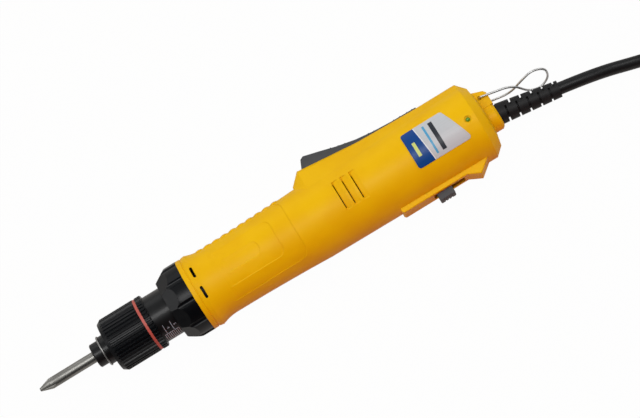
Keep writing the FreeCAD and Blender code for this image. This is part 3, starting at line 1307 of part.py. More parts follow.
def cord_route():
    """Corners of the cord from the strain relief down to the coil."""
    lean = math.radians(RELIEF_ANGLE)
    heading = V(math.cos(lean), math.sin(lean), 0)
    exit_point = V(RELIEF_X, BOSS_Y, 0) + heading * RELIEF_LENGTH
    lead = exit_point + heading * CORD_LEAD
    route = [tuple(exit_point), tuple(lead)]
    for x, y, left in CORD_BENDS:
        route.append((x, y, COIL_Z * (1 - left)))
    return route


def cord():
    """Free run of the cord."""
    wire, radii = rounded_wire(cord_route())
    tube_solid = swept(wire, CORD_R)
    print("cord bend radii", [round(r, 1) for r in radii])
    print("cord length", round(wire.Length, 1), "volume ratio",
          round(tube_solid.Volume / (math.pi * CORD_R ** 2 * wire.Length), 4))
    return tube_solid


def coil_frame():
    """End of the free run, and the coil's first angle and centre."""
    before, last = [V(*p) for p in cord_route()[-2:]]
    heading = (last - before).normalize()
    start = last + heading * (2 * CORD_R)
    slope = math.atan(COIL_PITCH / (2 * math.pi * COIL_OUTER_R))
    angle = math.atan2(heading.y, heading.x) - math.pi / 2 - slope
    centre = start - V(math.cos(angle), math.sin(angle), 0) * COIL_OUTER_R
    return last, angle, V(centre.x, centre.y, 0)


def coil_place(turn):
    """Point of the coil's middle line after a number of turns."""
    _, first_angle, centre = coil_frame()
    radius = COIL_OUTER_R
    height = COIL_Z
    way = -1.0
    left = turn
    for turns, curl, rise in COIL_LEGS:
        done = min(left, turns)
        share = done / turns
        radius += way * COIL_PITCH * (done - curl * done ** 2)
        height += rise * share ** 2 * (3 - 2 * share)
        way *= 1 - 2 * curl * done
        left -= done
    angle = first_angle + 2 * math.pi * turn
    return centre + V(radius * math.cos(angle), radius * math.sin(angle), height)


def coil_end():
    """Where the spiral stops, its level heading there, and where the cord meets the plug."""
    stop = coil_place(COIL_TURNS)
    _, first_angle, _ = coil_frame()
    angle = first_angle + 2 * math.pi * COIL_TURNS + math.pi / 2
    heading = V(math.cos(angle), math.sin(angle), 0)
    return stop, heading, stop + heading * (2 * CORD_R)


def cord_coil():
    """Cord wound flat: in, up a layer and out, up a layer and in, then up to the plug on top."""
    start, _, _ = coil_frame()
    stop, _, end = coil_end()
    edges = [Part.LineSegment(start, coil_place(0)).toShape()]
    edges += wound_edges(coil_place, [i / 4 for i in range(int(4 * COIL_TURNS) + 1)])
    edges.append(Part.LineSegment(stop, end).toShape())
    wire = Part.Wire(edges)
    marks = [coil_place(i / 60) for i in range(int(60 * COIL_TURNS) + 1)] + [end]
    gap = min((a - b).Length for i, a in enumerate(marks) for b in marks[i + 20:]) - 2 * CORD_R
    coil = swept(wire, CORD_R)
    print("coil length", round(wire.Length, 1), "least gap", round(gap, 2), "volume ratio",
          round(coil.Volume / (math.pi * CORD_R ** 2 * wire.Length), 4))
    return coil


def coil_ties():
    """Two flat bands round the bundle."""
    _, first_angle, centre = coil_frame()
    reach = CORD_R + TIE_GAP
    bands = []
    for turn in TIE_TURNS:
        places = [coil_place(turn + i) - centre for i in range(int(COIL_TURNS - turn) + 1)]
        radii = [math.hypot(p.x, p.y) for p in places]
        low_r = min(radii) - reach
        high_r = max(radii) + reach
        low_z = min(p.z for p in places) - reach
        high_z = max(p.z for p in places) + reach
        room = block(low_r, high_r, -TIE_W, TIE_W, low_z, high_z)
        body = block(low_r - TIE_T, high_r + TIE_T, -TIE_W / 2, TIE_W / 2, low_z - TIE_T, high_z + TIE_T)
        long_edges = [e for e in body.Edges if e.BoundBox.YLength > TIE_W / 2]
        band = body.makeFillet(TIE_T * 1.5, long_edges).cut(room)
        band.rotate(ORIGIN, Z_AXIS, math.degrees(first_angle) + 360 * turn)
        band.translate(centre)
        bands.append(band)
    return Part.makeCompound(bands)


def along_plug(shape):
    """Moves a shape built along X from the origin to the end of the cord."""
    _, heading, end = coil_end()
    shape.Placement = FreeCAD.Placement(end, FreeCAD.Rotation(X_AXIS, heading))
    return shape


def plug_grip():
    """Boot and ribbed grip of the plug."""
    boot_end = PLUG_BOOT_LENGTH
    grip_end = boot_end + PLUG_GRIP_LENGTH
    low = PLUG_GRIP_R - PLUG_RIB_DEPTH
    outline = [(0, 0), (0, CORD_R + PLUG_RIB_DEPTH), (boot_end - 2, PLUG_BOOT_R), (boot_end, low),
               (boot_end + 1, PLUG_GRIP_R)]
    first = grip_end - PLUG_RIB_PITCH * (PLUG_GRIP_RIBS + 0.5)
    for i in range(PLUG_GRIP_RIBS):
        x = first + PLUG_RIB_PITCH * i
        outline += [(x, PLUG_GRIP_R), (x + 0.5, low), (x + 1.0, low), (x + 1.5, PLUG_GRIP_R)]
    outline += [(grip_end - PLUG_RIB_DEPTH, PLUG_GRIP_R), (grip_end, low), (grip_end, 0)]
    return along_plug(turned(outline))


def plug_key(start, end, gap):
    """Key inside the plug's sleeve, grown by a gap."""
    half = PLUG_KEY_W / 2 + gap
    top = PLUG_NOSE_R - PLUG_NOSE_WALL / 2
    return block(start, end, top - PLUG_KEY_H - gap, top, -half, half)


def plug_nose():
    """Metal sleeve round the contacts."""
    start = PLUG_BOOT_LENGTH + PLUG_GRIP_LENGTH
    end = start + PLUG_NOSE_LENGTH
    sleeve = tube(PLUG_NOSE_R, PLUG_NOSE_R - PLUG_NOSE_WALL, start, end)
    return along_plug(sleeve.fuse(plug_key(start, end, 0)))


def plug_contacts():
    """Contact pins in their insulating core."""
    start = PLUG_BOOT_LENGTH + PLUG_GRIP_LENGTH
    core_end = start + PLUG_INSERT_DEPTH
    core = cylinder(PLUG_NOSE_R - PLUG_NOSE_WALL - SEAT_GAP, start, core_end)
    pieces = [core.cut(plug_key(start, core_end, RUN_GAP))]
    pin = cylinder(PLUG_PIN_R, core_end, start + PLUG_NOSE_LENGTH - 1, PLUG_PIN_PCR)
    for i in range(PLUG_PINS):
        pieces.append(about_x(pin, 180 + PLUG_PIN_STEP * (i - (PLUG_PINS - 1) / 2)))
    return along_plug(fused(pieces))


def main():
    half = half_shell()
    spindle_races = bearing(BEARING_R, SPINDLE_R, BEARING_RACE, BEARING_X, BEARING_W)
    front_races = bearing(MOTOR_BEARING_R, SHAFT_R, MOTOR_BEARING_RACE, MOTOR_X + BELL_SEAT, MOTOR_BEARING_W)
    rear_races = bearing(MOTOR_BEARING_R, SHAFT_R, MOTOR_BEARING_RACE,
                         MOTOR_END - BELL_SEAT - MOTOR_BEARING_W, MOTOR_BEARING_W)
    seat_end = SPRING_SEAT_X + SPRING_SEAT_W
    nodes = {
        "screwdriver_bit": cross_point_bit(),
        "bit_collar": collar(),
        "collar_ring": collar_ring(),
        "collar_spring": helical_spring((SPINDLE_R + COLLAR_CHAMBER_R) / 2, COLLAR_SPRING_WIRE,
                                        COLLAR_CHAMBER, SPINDLE_SHOULDER_X, COLLAR_SPRING_TURNS),
        "snap_ring": snap_ring(),
        "lock_spring": lock_spring(),
        "spindle": spindle(),
        "spindle_bearing_outer": spindle_races[0],
        "spindle_bearing_inner": spindle_races[1],
        "torque_ring": torque_ring(),
        "index_band": index_band(),
        "torque_pusher": pusher(),
        "spring_seat": spring_seat(),
        "clutch_spring": helical_spring(CLUTCH_SPRING_R, CLUTCH_SPRING_WIRE, seat_end, THRUST_X,
                                        CLUTCH_SPRING_TURNS),
        "nose_tube": nose_tube(),
        "thrust_washer": tube(TUBE_BORE_R - SEAT_GAP, SPINDLE_R + 0.4, THRUST_X, THRUST_X + THRUST_W),
        "clutch_cam": clutch_cam(),
        "clutch_balls": clutch_balls(),
        "carrier_2": carrier_2(),
        "carrier_1": carrier_1(),
        "ring_gear": ring_gear(),
        "motor_front_bell": motor_bell(MOTOR_X, 1),
        "motor_rear_bell": motor_bell(MOTOR_END, -1),
        "motor_stator": stator(),
        "motor_windings": windings(),
        "motor_bearing_outers": Part.makeCompound([front_races[0], rear_races[0]]),
        "motor_bearing_inners": Part.makeCompound([front_races[1], rear_races[1]]),
        "motor_shaft": motor_shaft(),
        "motor_magnet": magnet(),
        "sensor_board": sensor_board(),
        "lock_nut": lock_nut(),
        "upper_shell": upper_shell(half),
        "lower_shell": lower_shell(half),
        "shell_screws": shell_screws(),
        "trigger_lever": trigger_lever(),
        "lever_pin": lever_pin(),
        "lever_spring": lever_spring(),
        "lever_switch": lever_switch(),
        "switch_plunger": switch_plunger(),
        "direction_knob": direction_knob(),
        "direction_switch": direction_switch(),
        "control_board": control_board(),
        "board_parts": board_parts(),
        "status_lamp": status_lamp(),
        "rating_label": rating_label(),
        "strain_relief": strain_relief(),
        "cord_leads": cord_leads(),
        "bail": bail(),
        "cord": cord(),
        "cord_coil": cord_coil(),
        "coil_ties": coil_ties(),
        "plug_grip": plug_grip(),
        "plug_nose": plug_nose(),
        "plug_contacts": plug_contacts(),
    }
    for i in range(PLANETS):
        letter = "abc"[i]
        nodes["planet_1" + letter] = planet(PLANET_1_X, 360.0 * i / PLANETS)
        nodes["planet_2" + letter] = planet(PLANET_2_X, 360.0 * i / PLANETS)
    os.makedirs("parts", exist_ok=True)
    for name, shape in nodes.items():
        shape.exportStep("parts/" + name + ".step")


main()
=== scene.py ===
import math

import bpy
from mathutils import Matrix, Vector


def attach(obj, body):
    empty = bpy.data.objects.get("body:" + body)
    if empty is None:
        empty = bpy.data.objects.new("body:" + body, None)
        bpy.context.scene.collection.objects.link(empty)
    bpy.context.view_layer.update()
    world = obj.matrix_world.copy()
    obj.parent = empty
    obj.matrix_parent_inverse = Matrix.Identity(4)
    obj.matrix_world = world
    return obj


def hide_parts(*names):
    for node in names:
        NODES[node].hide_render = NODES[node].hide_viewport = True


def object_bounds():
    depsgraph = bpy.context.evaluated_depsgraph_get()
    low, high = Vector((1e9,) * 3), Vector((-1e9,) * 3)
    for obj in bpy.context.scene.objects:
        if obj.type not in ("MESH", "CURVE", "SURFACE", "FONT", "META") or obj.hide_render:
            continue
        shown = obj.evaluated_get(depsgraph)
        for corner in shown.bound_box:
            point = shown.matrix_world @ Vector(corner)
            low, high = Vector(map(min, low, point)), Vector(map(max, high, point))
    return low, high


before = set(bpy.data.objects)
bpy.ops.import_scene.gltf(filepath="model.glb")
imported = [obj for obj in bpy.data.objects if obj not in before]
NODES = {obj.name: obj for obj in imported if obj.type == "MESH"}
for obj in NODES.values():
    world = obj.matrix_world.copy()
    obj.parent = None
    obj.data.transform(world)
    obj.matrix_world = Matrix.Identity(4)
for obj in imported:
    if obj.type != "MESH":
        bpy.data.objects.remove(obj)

# %% [markdown]
# # A corded electric screwdriver
# The solids are already in place, in metres: X runs along the spindle from the bit to the cord, Y points to
# the trigger lever, and Z points up to the side with the label. This lesson keeps the rigid solids, gives
# each one the finish of the real thing, lays the cord as one smooth curve, prints the torque scale, and sets
# the tool on a pale studio floor.

MM = 0.001
SCENE = bpy.context.scene
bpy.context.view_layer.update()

# %% [markdown]
# ## Camera
# The tool lies on its side and is seen from almost straight above, a little from the switch side, with its
# axis rising to the right. A long lens from well over a metre keeps the round parts from swelling, as in a
# catalogue picture. The view is built from three unit vectors, because that states the roll directly.

# %% Camera at the picture's angle
ELEVATION = math.radians(75.0)
ROLL = math.radians(31.5)
DISTANCE = 1.39
TARGET = Vector((140.4, 4.5, 0.0)) * MM

sight = Vector((0, -math.cos(ELEVATION), math.sin(ELEVATION)))
level_up = Vector((0, math.sin(ELEVATION), math.cos(ELEVATION)))
spindle_way = Vector((1, 0, 0))
image_right = spindle_way * math.cos(ROLL) - level_up * math.sin(ROLL)
image_up = spindle_way * math.sin(ROLL) + level_up * math.cos(ROLL)

lens = bpy.data.cameras.new("studio_camera")
lens.lens = 150
lens.sensor_width = 36
camera = bpy.data.objects.new("studio_camera", lens)
turn = Matrix((image_right, image_up, sight)).transposed().to_4x4()
camera.matrix_world = Matrix.Translation(TARGET + sight * DISTANCE) @ turn
SCENE.collection.objects.link(camera)
SCENE.camera = camera
print("camera at", tuple(round(c, 3) for c in camera.matrix_world.translation))

# %% [markdown]
# ## Shader maths
# A finish needs many small sums, such as one minus a mask. Written as nodes they fill pages, so one class
# wraps a socket and lets Python's own operators add the Math nodes. Every other node comes from its `node`
# method: settings first, then the values or links of its sockets.

# %% A socket with operators
class Wire:
    """A socket in a material's node tree."""

    def __init__(self, tree, socket=None):
        self.tree = tree
        self.socket = socket

    def node(self, kind, settings=None, sockets=None, out=0):
        made = self.tree.nodes.new(kind)
        for name, value in (settings or {}).items():
            setattr(made, name, value)
        for name, value in (sockets or {}).items():
            if isinstance(value, Wire):
                self.tree.links.new(value.socket, made.inputs[name])
            else:
                made.inputs[name].default_value = value
        return Wire(self.tree, made.outputs[out] if made.outputs else None)

    def math(self, operation, first, second=0.0):
        return self.node("ShaderNodeMath", {"operation": operation}, {0: first, 1: second})

    def __add__(self, other):
        return self.math("ADD", self, other)

    def __radd__(self, other):
        return self.math("ADD", other, self)

    def __sub__(self, other):
        return self.math("SUBTRACT", self, other)

    def __rsub__(self, other):
        return self.math("SUBTRACT", other, self)

    def __mul__(self, other):
        return self.math("MULTIPLY", self, other)

    def __rmul__(self, other):
        return self.math("MULTIPLY", other, self)

    def __gt__(self, other):
        return self.math("GREATER_THAN", self, other)

    def __lt__(self, other):
        return self.math("LESS_THAN", self, other)

    def __abs__(self):
        return self.math("ABSOLUTE", self)

    def mix(self, first, second):
        """Colour between two, with this value as the share of the second."""
        return self.node("ShaderNodeMix", {"data_type": "RGBA"}, {0: self, 6: first, 7: second}, out=2)

    def ramp(self, low, high):
        """This value spread from 0 at low to 1 at high, and held there."""
        return self.node("ShaderNodeMapRange", {"interpolation_type": "SMOOTHSTEP"},
                         {"Value": self, "From Min": low, "From Max": high})


def paint(red, green, blue):
    """A colour from its display values, 0 to 255."""
    def linear(value):
        value /= 255
        return value / 12.92 if value < 0.04045 else ((value + 0.055) / 1.055) ** 2.4
    return (linear(red), linear(green), linear(blue), 1.0)


print("display white is", paint(255, 255, 255))

# %% [markdown]
# ## Starting a finish
# Each finish starts from the Principled shader with its constant sockets set, and from Object coordinates,
# which sit still on a solid when it moves. `grain` gives the noise that most finishes share, and `relief`
# turns a height into a Bump node.

# %% Helpers that the finishes share
def new_finish(name, constants):
    material = bpy.data.materials.new(name)
    material.use_nodes = True
    shader = material.node_tree.nodes["Principled BSDF"]
    for socket, value in constants.items():
        shader.inputs[socket].default_value = value
    place = Wire(material.node_tree).node("ShaderNodeTexCoord", out="Object")
    return material, shader, place


def feed(shader, wires):
    for socket, wire in wires.items():
        wire.tree.links.new(wire.socket, shader.inputs[socket])


def stretched(place, x, y, z):
    """Object coordinates scaled along each axis, for brushed or turned marks."""
    return place.node("ShaderNodeMapping", {}, {"Vector": place, "Scale": (x, y, z)})


def grain(place, scale, detail=2.0, roughness=0.5):
    return place.node("ShaderNodeTexNoise", {}, {"Vector": place, "Scale": scale, "Detail": detail,
                                                 "Roughness": roughness})


def relief(height, depth, softened=0.0):
    """Bump from a height, on edges rounded by a small radius where one is given."""
    sockets = {"Height": height, "Distance": depth}
    if softened:
        sockets["Normal"] = height.node("ShaderNodeBevel", {"samples": 8}, {"Radius": softened})
    return height.node("ShaderNodeBump", {}, sockets)


def axis_values(place):
    split = place.node("ShaderNodeSeparateXYZ", {}, {"Vector": place})
    source = split.socket.node
    return [Wire(place.tree, source.outputs[i]) for i in range(3)]


print("finish helpers ready")

# %% [markdown]
# ## Moulded plastics
# The shells are yellow plastic from a spark-eroded mould: a fine even grain, satin, with faint clouds where
# the melt cooled and smoother streaks where hands have rubbed it. The lever and the knob are the same plastic
# in grey, and the torque ring, lock nut and plug grip are black. One function makes all of them, so that they
# look like one family. Its `rounding` softens sharp edges in the shading, as a mould does. The walls of the
# two front vents get painted shade: their colour is darkened where the slots fall into shadow.

# %% Moulded plastic in a colour
VENT_START, VENT_END = 66.3 * MM, 68.5 * MM
VENT_FLOOR = 19.8 * MM       # radius under which a front vent's walls get painted shade
# Painted shade: the dark colour given to the front vents' walls, standing for the shadow inside the slots
VENT_PAINTED_SHADE = paint(26, 16, 6)
CLOUD_SCALE = 55.0
RUB_SCALES = (35.0, 150.0, 150.0)
PLASTIC_PITS = 1500.0


def vent_shade_mask(place):
    """Mask of the painted shade: 1 on the walls of the front vents, below the shell's skin."""
    x, y, z = axis_values(place)
    return (x > VENT_START) * (x < VENT_END) * (y * y + z * z < VENT_FLOOR ** 2)


def moulded(name, colour, deep, gloss, shine, coat, depth, rounding, paints_vent_shade=False):
    """Spark-eroded plastic: fine grain, cooling clouds and a few rubbed streaks."""
    material, shader, place = new_finish(name, {
        "IOR": 1.5, "Specular IOR Level": shine, "Coat Weight": coat, "Coat Roughness": 0.25})
    clouds = grain(place, CLOUD_SCALE, detail=3.0)
    rubbed = grain(stretched(place, *RUB_SCALES), 1.0, detail=4.0).ramp(0.52, 0.75)
    pits = grain(place, PLASTIC_PITS, roughness=0.6)
    skin = clouds.ramp(0.35, 0.7).mix(colour, deep)
    if paints_vent_shade:
        # Painted shade: the vents' walls are darkened to stand for the shadow inside the slots
        skin = vent_shade_mask(place).mix(skin, VENT_PAINTED_SHADE)
    feed(shader, {
        "Base Color": skin,
        "Roughness": gloss + 0.10 * clouds - 0.07 * rubbed + 0.05 * pits,
        "Normal": relief(pits, depth, rounding),
    })
    return material


YELLOW = moulded("yellow_shell", paint(241, 187, 1), paint(237, 180, 1), gloss=0.42, shine=0.12, coat=0.02,
                 depth=0.02 * MM, rounding=0.6 * MM, paints_vent_shade=True)
GREY = moulded("grey_control", paint(79, 80, 82), paint(72, 73, 75), gloss=0.45, shine=0.12, coat=0.02,
               depth=0.03 * MM, rounding=0.5 * MM)
BLACK = moulded("black_plastic", paint(7, 9, 12), paint(5, 7, 10), gloss=0.26, shine=0.14, coat=0.08,
                depth=0.01 * MM, rounding=0.15 * MM)
print("moulded:", YELLOW.name, GREY.name, BLACK.name)

# %% [markdown]
# ## Rubber and cord jacket
# The strain relief is soft moulded rubber, so it is duller than the plastics and gathers a little pale dust.
# The cord's jacket is extruded PVC, which is smoother.

# %% Rubber and jacket
DUST_SCALE = 260.0
RUBBER_PITS = 2200.0


def rubbery(name, colour, dust, gloss, depth):
    material, shader, place = new_finish(name, {"IOR": 1.47, "Specular IOR Level": 0.25})
    film = grain(place, DUST_SCALE, detail=4.0).ramp(0.5, 0.8)
    pits = grain(place, RUBBER_PITS, roughness=0.6)
    feed(shader, {
        "Base Color": (0.35 * film).mix(colour, dust),
        "Roughness": gloss + 0.10 * film + 0.06 * pits,
        "Normal": relief(pits, depth),
    })
    return material


RUBBER = rubbery("relief_rubber", paint(24, 24, 25), paint(40, 40, 41), gloss=0.52, depth=0.03 * MM)
JACKET = rubbery("cord_jacket", paint(22, 23, 24), paint(32, 32, 34), gloss=0.36, depth=0.01 * MM)
print("soft:", RUBBER.name, JACKET.name)

# %% [markdown]
# ## Metals
# The bit is ground tool steel with marks along its length, the bail is bright drawn wire, and the nose tube
# and the bit's collar are black anodised metal with fine turning rings. The inner parts have the plain
# finishes of their trade: steel gears, copper windings and laminated iron.

# %% Metal with marks along or around the spindle
SMUDGE_SCALE = 120.0
ALONG = (60.0, 3500.0, 3500.0)
AROUND = (4500.0, 40.0, 40.0)
LAYERED = (2400.0, 8.0, 8.0)
EVEN = (900.0, 900.0, 900.0)


def metal(name, colour, dark, gloss, marks, depth):
    """Ground or drawn metal, with its marks stretched by the three scales given."""
    material, shader, place = new_finish(name, {"Metallic": 1.0})
    lines = grain(stretched(place, *marks), 1.0, detail=3.0, roughness=0.6)
    smudge = grain(place, SMUDGE_SCALE, detail=3.0).ramp(0.4, 0.75)
    feed(shader, {
        "Base Color": (0.5 * smudge).mix(colour, dark),
        "Roughness": gloss + 0.16 * lines + 0.08 * smudge,
        "Normal": relief(lines, depth),
    })
    return material


BIT_STEEL = metal("ground_bit_steel", paint(136, 135, 131), paint(108, 106, 102), 0.34, ALONG, 0.002 * MM)
WIRE_STEEL = metal("bright_wire", paint(206, 206, 205), paint(182, 182, 181), 0.34, EVEN, 0.001 * MM)
GEAR_STEEL = metal("gear_steel", paint(150, 149, 147), paint(112, 111, 110), 0.30, AROUND, 0.004 * MM)
DARK_STEEL = metal("blackened_steel", paint(58, 58, 60), paint(44, 44, 46), 0.34, EVEN, 0.004 * MM)
COPPER = metal("enamelled_copper", paint(198, 112, 66), paint(150, 74, 40), 0.28, AROUND, 0.04 * MM)
IRON = metal("laminated_iron", paint(120, 118, 116), paint(92, 90, 88), 0.40, LAYERED, 0.02 * MM)
NICKEL = metal("nickel_plate", paint(196, 192, 182), paint(160, 156, 146), 0.20, EVEN, 0.003 * MM)
print("metals:", BIT_STEEL.name, WIRE_STEEL.name, GEAR_STEEL.name)

# %% Black anodised tube
TURNED = (5200.0, 20.0, 20.0)
FILM_SCALE = 150.0
RING_DEPTH = 0.005 * MM

ANODISED, tube_shader, tube_place = new_finish("black_anodised", {
    "IOR": 1.5, "Specular IOR Level": 0.2, "Coat Weight": 0.08, "Coat Roughness": 0.12})
rings = grain(stretched(tube_place, *TURNED), 1.0)
film = grain(tube_place, FILM_SCALE, detail=3.0)
feed(tube_shader, {
    "Base Color": film.mix(paint(15, 16, 17), paint(22, 23, 24)),
    "Roughness": 0.26 + 0.12 * rings + 0.06 * film,
    "Normal": relief(rings, RING_DEPTH),
})
print("anodised:", ANODISED.name)

# %% [markdown]
# ## Inks, lamp and boards
# The red index band and the white scale are paint in shallow grooves, a little uneven. The lamp is a tinted
# lens that glows faintly. The boards inside are green laminate, and the parts on them dark resin. The magnet
# and the nylon ties share the same plain, slightly worn surface.

# %% Paints, lamp and laminate
WEAR_SCALE = 420.0
WEAR_DEPTH = 0.01 * MM
LAMP_GRAIN = 900.0


def painted(name, colour, worn, gloss):
    material, shader, place = new_finish(name, {"IOR": 1.48})
    wear = grain(place, WEAR_SCALE, detail=5.0, roughness=0.65)
    feed(shader, {
        "Base Color": wear.ramp(0.45, 0.85).mix(colour, worn),
        "Roughness": gloss + 0.2 * wear,
        "Normal": relief(wear, WEAR_DEPTH),
    })
    return material


BAND_RED = painted("index_red", paint(188, 84, 72), paint(150, 66, 58), 0.42)
SCALE_WHITE = painted("scale_white", paint(176, 184, 196), paint(120, 126, 134), 0.50)
LAMINATE = painted("board_green", paint(28, 92, 58), paint(20, 70, 44), 0.35)
RESIN = painted("dark_resin", paint(30, 30, 32), paint(40, 40, 42), 0.45)
MAGNET = painted("dark_magnet", paint(66, 66, 70), paint(50, 50, 54), 0.40)
TIE_BLACK = painted("tie_nylon", paint(26, 26, 28), paint(38, 38, 40), 0.55)

LAMP, lamp_shader, lamp_place = new_finish("green_lamp", {
    "IOR": 1.5, "Coat Weight": 0.2, "Coat Roughness": 0.08, "Emission Strength": 0.08, "Roughness": 0.2})
lamp_glow = grain(lamp_place, LAMP_GRAIN)
feed(lamp_shader, {
    "Base Color": lamp_glow.mix(paint(84, 128, 14), paint(104, 146, 26)),
    "Emission Color": lamp_glow.mix(paint(60, 150, 30), paint(110, 200, 70)),
})
print("paints:", BAND_RED.name, SCALE_WHITE.name, LAMP.name)

# %% [markdown]
# ## Label
# The real tool carries a printed film in two fields, blue in front and silver behind. This one keeps the
# fields and stays free of words: plain bars stand where a maker would print. Fields and bars are cut by
# Object coordinates, since the film lies in one place on the shell.

# %% Two-field label film
LABEL_EDGE = 202.6 * MM      # end of the blue field on the lever side
LABEL_EDGE_LEAN = 0.10       # how far the edge leans back per unit toward the switch side
LABEL_MIDDLE = 9.0 * MM
LABEL_BRUSHING = (60.0, 1800.0, 60.0)
DIVIDER_HALF = 0.2 * MM
LABEL_BARS = [               # spans along and across the spindle in millimetres, and colour
    ((210.2, 212.6), (-8.2, 8.2), paint(44, 48, 56)),
    ((206.6, 207.8), (-8.2, 8.2), paint(84, 160, 200)),
    ((197.8, 199.6), (-5.0, 3.0), paint(206, 214, 120)),
]


def within(value, span):
    """Mask that is 1 between two places given in millimetres."""
    return (value > span[0] * MM) * (value < span[1] * MM)


LABEL, label_shader, label_place = new_finish("label_film", {
    "IOR": 1.5, "Specular IOR Level": 0.2, "Coat Weight": 0.05, "Coat Roughness": 0.15})
along, across, _ = axis_values(label_place)
line = along + LABEL_EDGE_LEAN * across - LABEL_EDGE - LABEL_EDGE_LEAN * LABEL_MIDDLE
brushed = grain(stretched(label_place, *LABEL_BRUSHING), 1.0, detail=3.0)
silver = brushed.mix(paint(188, 190, 193), paint(202, 204, 206))
blue = brushed.mix(paint(8, 62, 130), paint(12, 68, 138))
fields = (line > 0.0).mix(blue, silver)
fields = (abs(line) < DIVIDER_HALF).mix(fields, paint(232, 234, 236))
for along_span, across_span, colour in LABEL_BARS:
    fields = (within(along, along_span) * within(across, across_span)).mix(fields, colour)
feed(label_shader, {
    "Base Color": fields,
    "Roughness": 0.30 + 0.12 * brushed,
    "Normal": relief(brushed, 0.002 * MM),
})
print("label fields meet at x =", LABEL_EDGE)

# %% [markdown]
# ## Finishes on the solids
# A table gives each solid its finish. A solid's mesh is left as it is: only its material slot changes.

# %% Assign the finishes
FINISHES = {
    YELLOW: "upper_shell lower_shell",
    GREY: "trigger_lever direction_knob",
    BLACK: "torque_ring lock_nut plug_grip lever_switch direction_switch",
    RUBBER: "strain_relief",
    JACKET: "cord cord_coil cord_leads",
    BIT_STEEL: "screwdriver_bit",
    WIRE_STEEL: "bail",
    ANODISED: "nose_tube bit_collar",
    GEAR_STEEL: "collar_ring spindle snap_ring lock_spring spindle_bearing_outer spindle_bearing_inner "
                "spring_seat thrust_washer clutch_cam clutch_balls carrier_1 carrier_2 planet_1a planet_1b "
                "planet_1c planet_2a planet_2b planet_2c motor_shaft motor_bearing_outers "
                "motor_bearing_inners lever_pin torque_pusher",
    DARK_STEEL: "collar_spring clutch_spring lever_spring shell_screws ring_gear",
    COPPER: "motor_windings",
    IRON: "motor_stator",
    NICKEL: "plug_nose plug_contacts motor_front_bell motor_rear_bell",
    BAND_RED: "index_band",
    LAMINATE: "control_board sensor_board",
    RESIN: "board_parts switch_plunger",
    MAGNET: "motor_magnet",
    TIE_BLACK: "coil_ties",
    LAMP: "status_lamp",
    LABEL: "rating_label",
}
dressed = set()
for material, names in FINISHES.items():
    for name in names.split():
        slots = NODES[name].data.materials
        slots.clear()
        slots.append(material)
        dressed.add(name)
print("dressed", len(dressed), "solids; left:", sorted(set(NODES) - dressed))

# %% [markdown]
# ## Torque scale
# White lines are filled into the black tube: a ladder of fine ticks, one line along its edge, and longer
# ticks with numbers. A tick is an arc swept with a small round section that lies mostly in the tube, so only
# its back shows. Ticks repeat, so a node group stamps them along the spindle, and its named inputs set the
# two rows.

# %% Node group for a row of ticks
TUBE_RADIUS = 13.35 * MM
LINE_RADIUS = 0.20 * MM
LINE_SINK = 0.15 * MM
TICK_INPUTS = {"Count": "NodeSocketInt", "First": "NodeSocketFloat", "Pitch": "NodeSocketFloat",
               "Start Angle": "NodeSocketFloat", "Sweep Angle": "NodeSocketFloat",
               "Radius": "NodeSocketFloat", "Line Radius": "NodeSocketFloat",
               "Material": "NodeSocketMaterial"}

tick_tree = bpy.data.node_groups.new("tick_row", "GeometryNodeTree")
for name, kind in TICK_INPUTS.items():
    tick_tree.interface.new_socket(name, in_out="INPUT", socket_type=kind)
tick_tree.interface.new_socket("Geometry", in_out="OUTPUT", socket_type="NodeSocketGeometry")
given = tick_tree.nodes.new("NodeGroupInput")


def tick_node(kind, links):
    """Node whose inputs are linked to sockets or set to values."""
    made = tick_tree.nodes.new(kind)
    for socket, value in links.items():
        if isinstance(value, bpy.types.NodeSocket):
            tick_tree.links.new(value, made.inputs[socket])
        else:
            made.inputs[socket].default_value = value
    return made


arc = tick_node("GeometryNodeCurveArc", {
    "Resolution": 24, "Radius": given.outputs["Radius"], "Start Angle": given.outputs["Start Angle"],
    "Sweep Angle": given.outputs["Sweep Angle"]})
section = tick_node("GeometryNodeCurvePrimitiveCircle", {
    "Resolution": 8, "Radius": given.outputs["Line Radius"]})
tick = tick_node("GeometryNodeCurveToMesh", {
    "Curve": arc.outputs["Curve"], "Profile Curve": section.outputs["Curve"], "Fill Caps": True})
upright = tick_node("GeometryNodeTransform", {
    "Geometry": tick.outputs["Mesh"], "Rotation": (math.radians(90), 0.0, math.radians(90))})
first = tick_node("ShaderNodeCombineXYZ", {"X": given.outputs["First"]})
pitch = tick_node("ShaderNodeCombineXYZ", {"X": given.outputs["Pitch"]})
row = tick_node("GeometryNodeMeshLine", {
    "Count": given.outputs["Count"], "Start Location": first.outputs[0], "Offset": pitch.outputs[0]})
stamped = tick_node("GeometryNodeInstanceOnPoints", {
    "Points": row.outputs["Mesh"], "Instance": upright.outputs["Geometry"]})
real = tick_node("GeometryNodeRealizeInstances", {"Geometry": stamped.outputs["Instances"]})
finished = tick_node("GeometryNodeSetMaterial", {
    "Geometry": real.outputs["Geometry"], "Material": given.outputs["Material"]})
tick_node("NodeGroupOutput", {"Geometry": finished.outputs["Geometry"]})
print("tick row takes", list(TICK_INPUTS))

# %% Two rows of ticks
LADDER_START, LADDER_END = 38.1, 46.1     # along the spindle, in millimetres
LADDER_EDGE = 150.4                       # angle of its edge from the lever side, in degrees


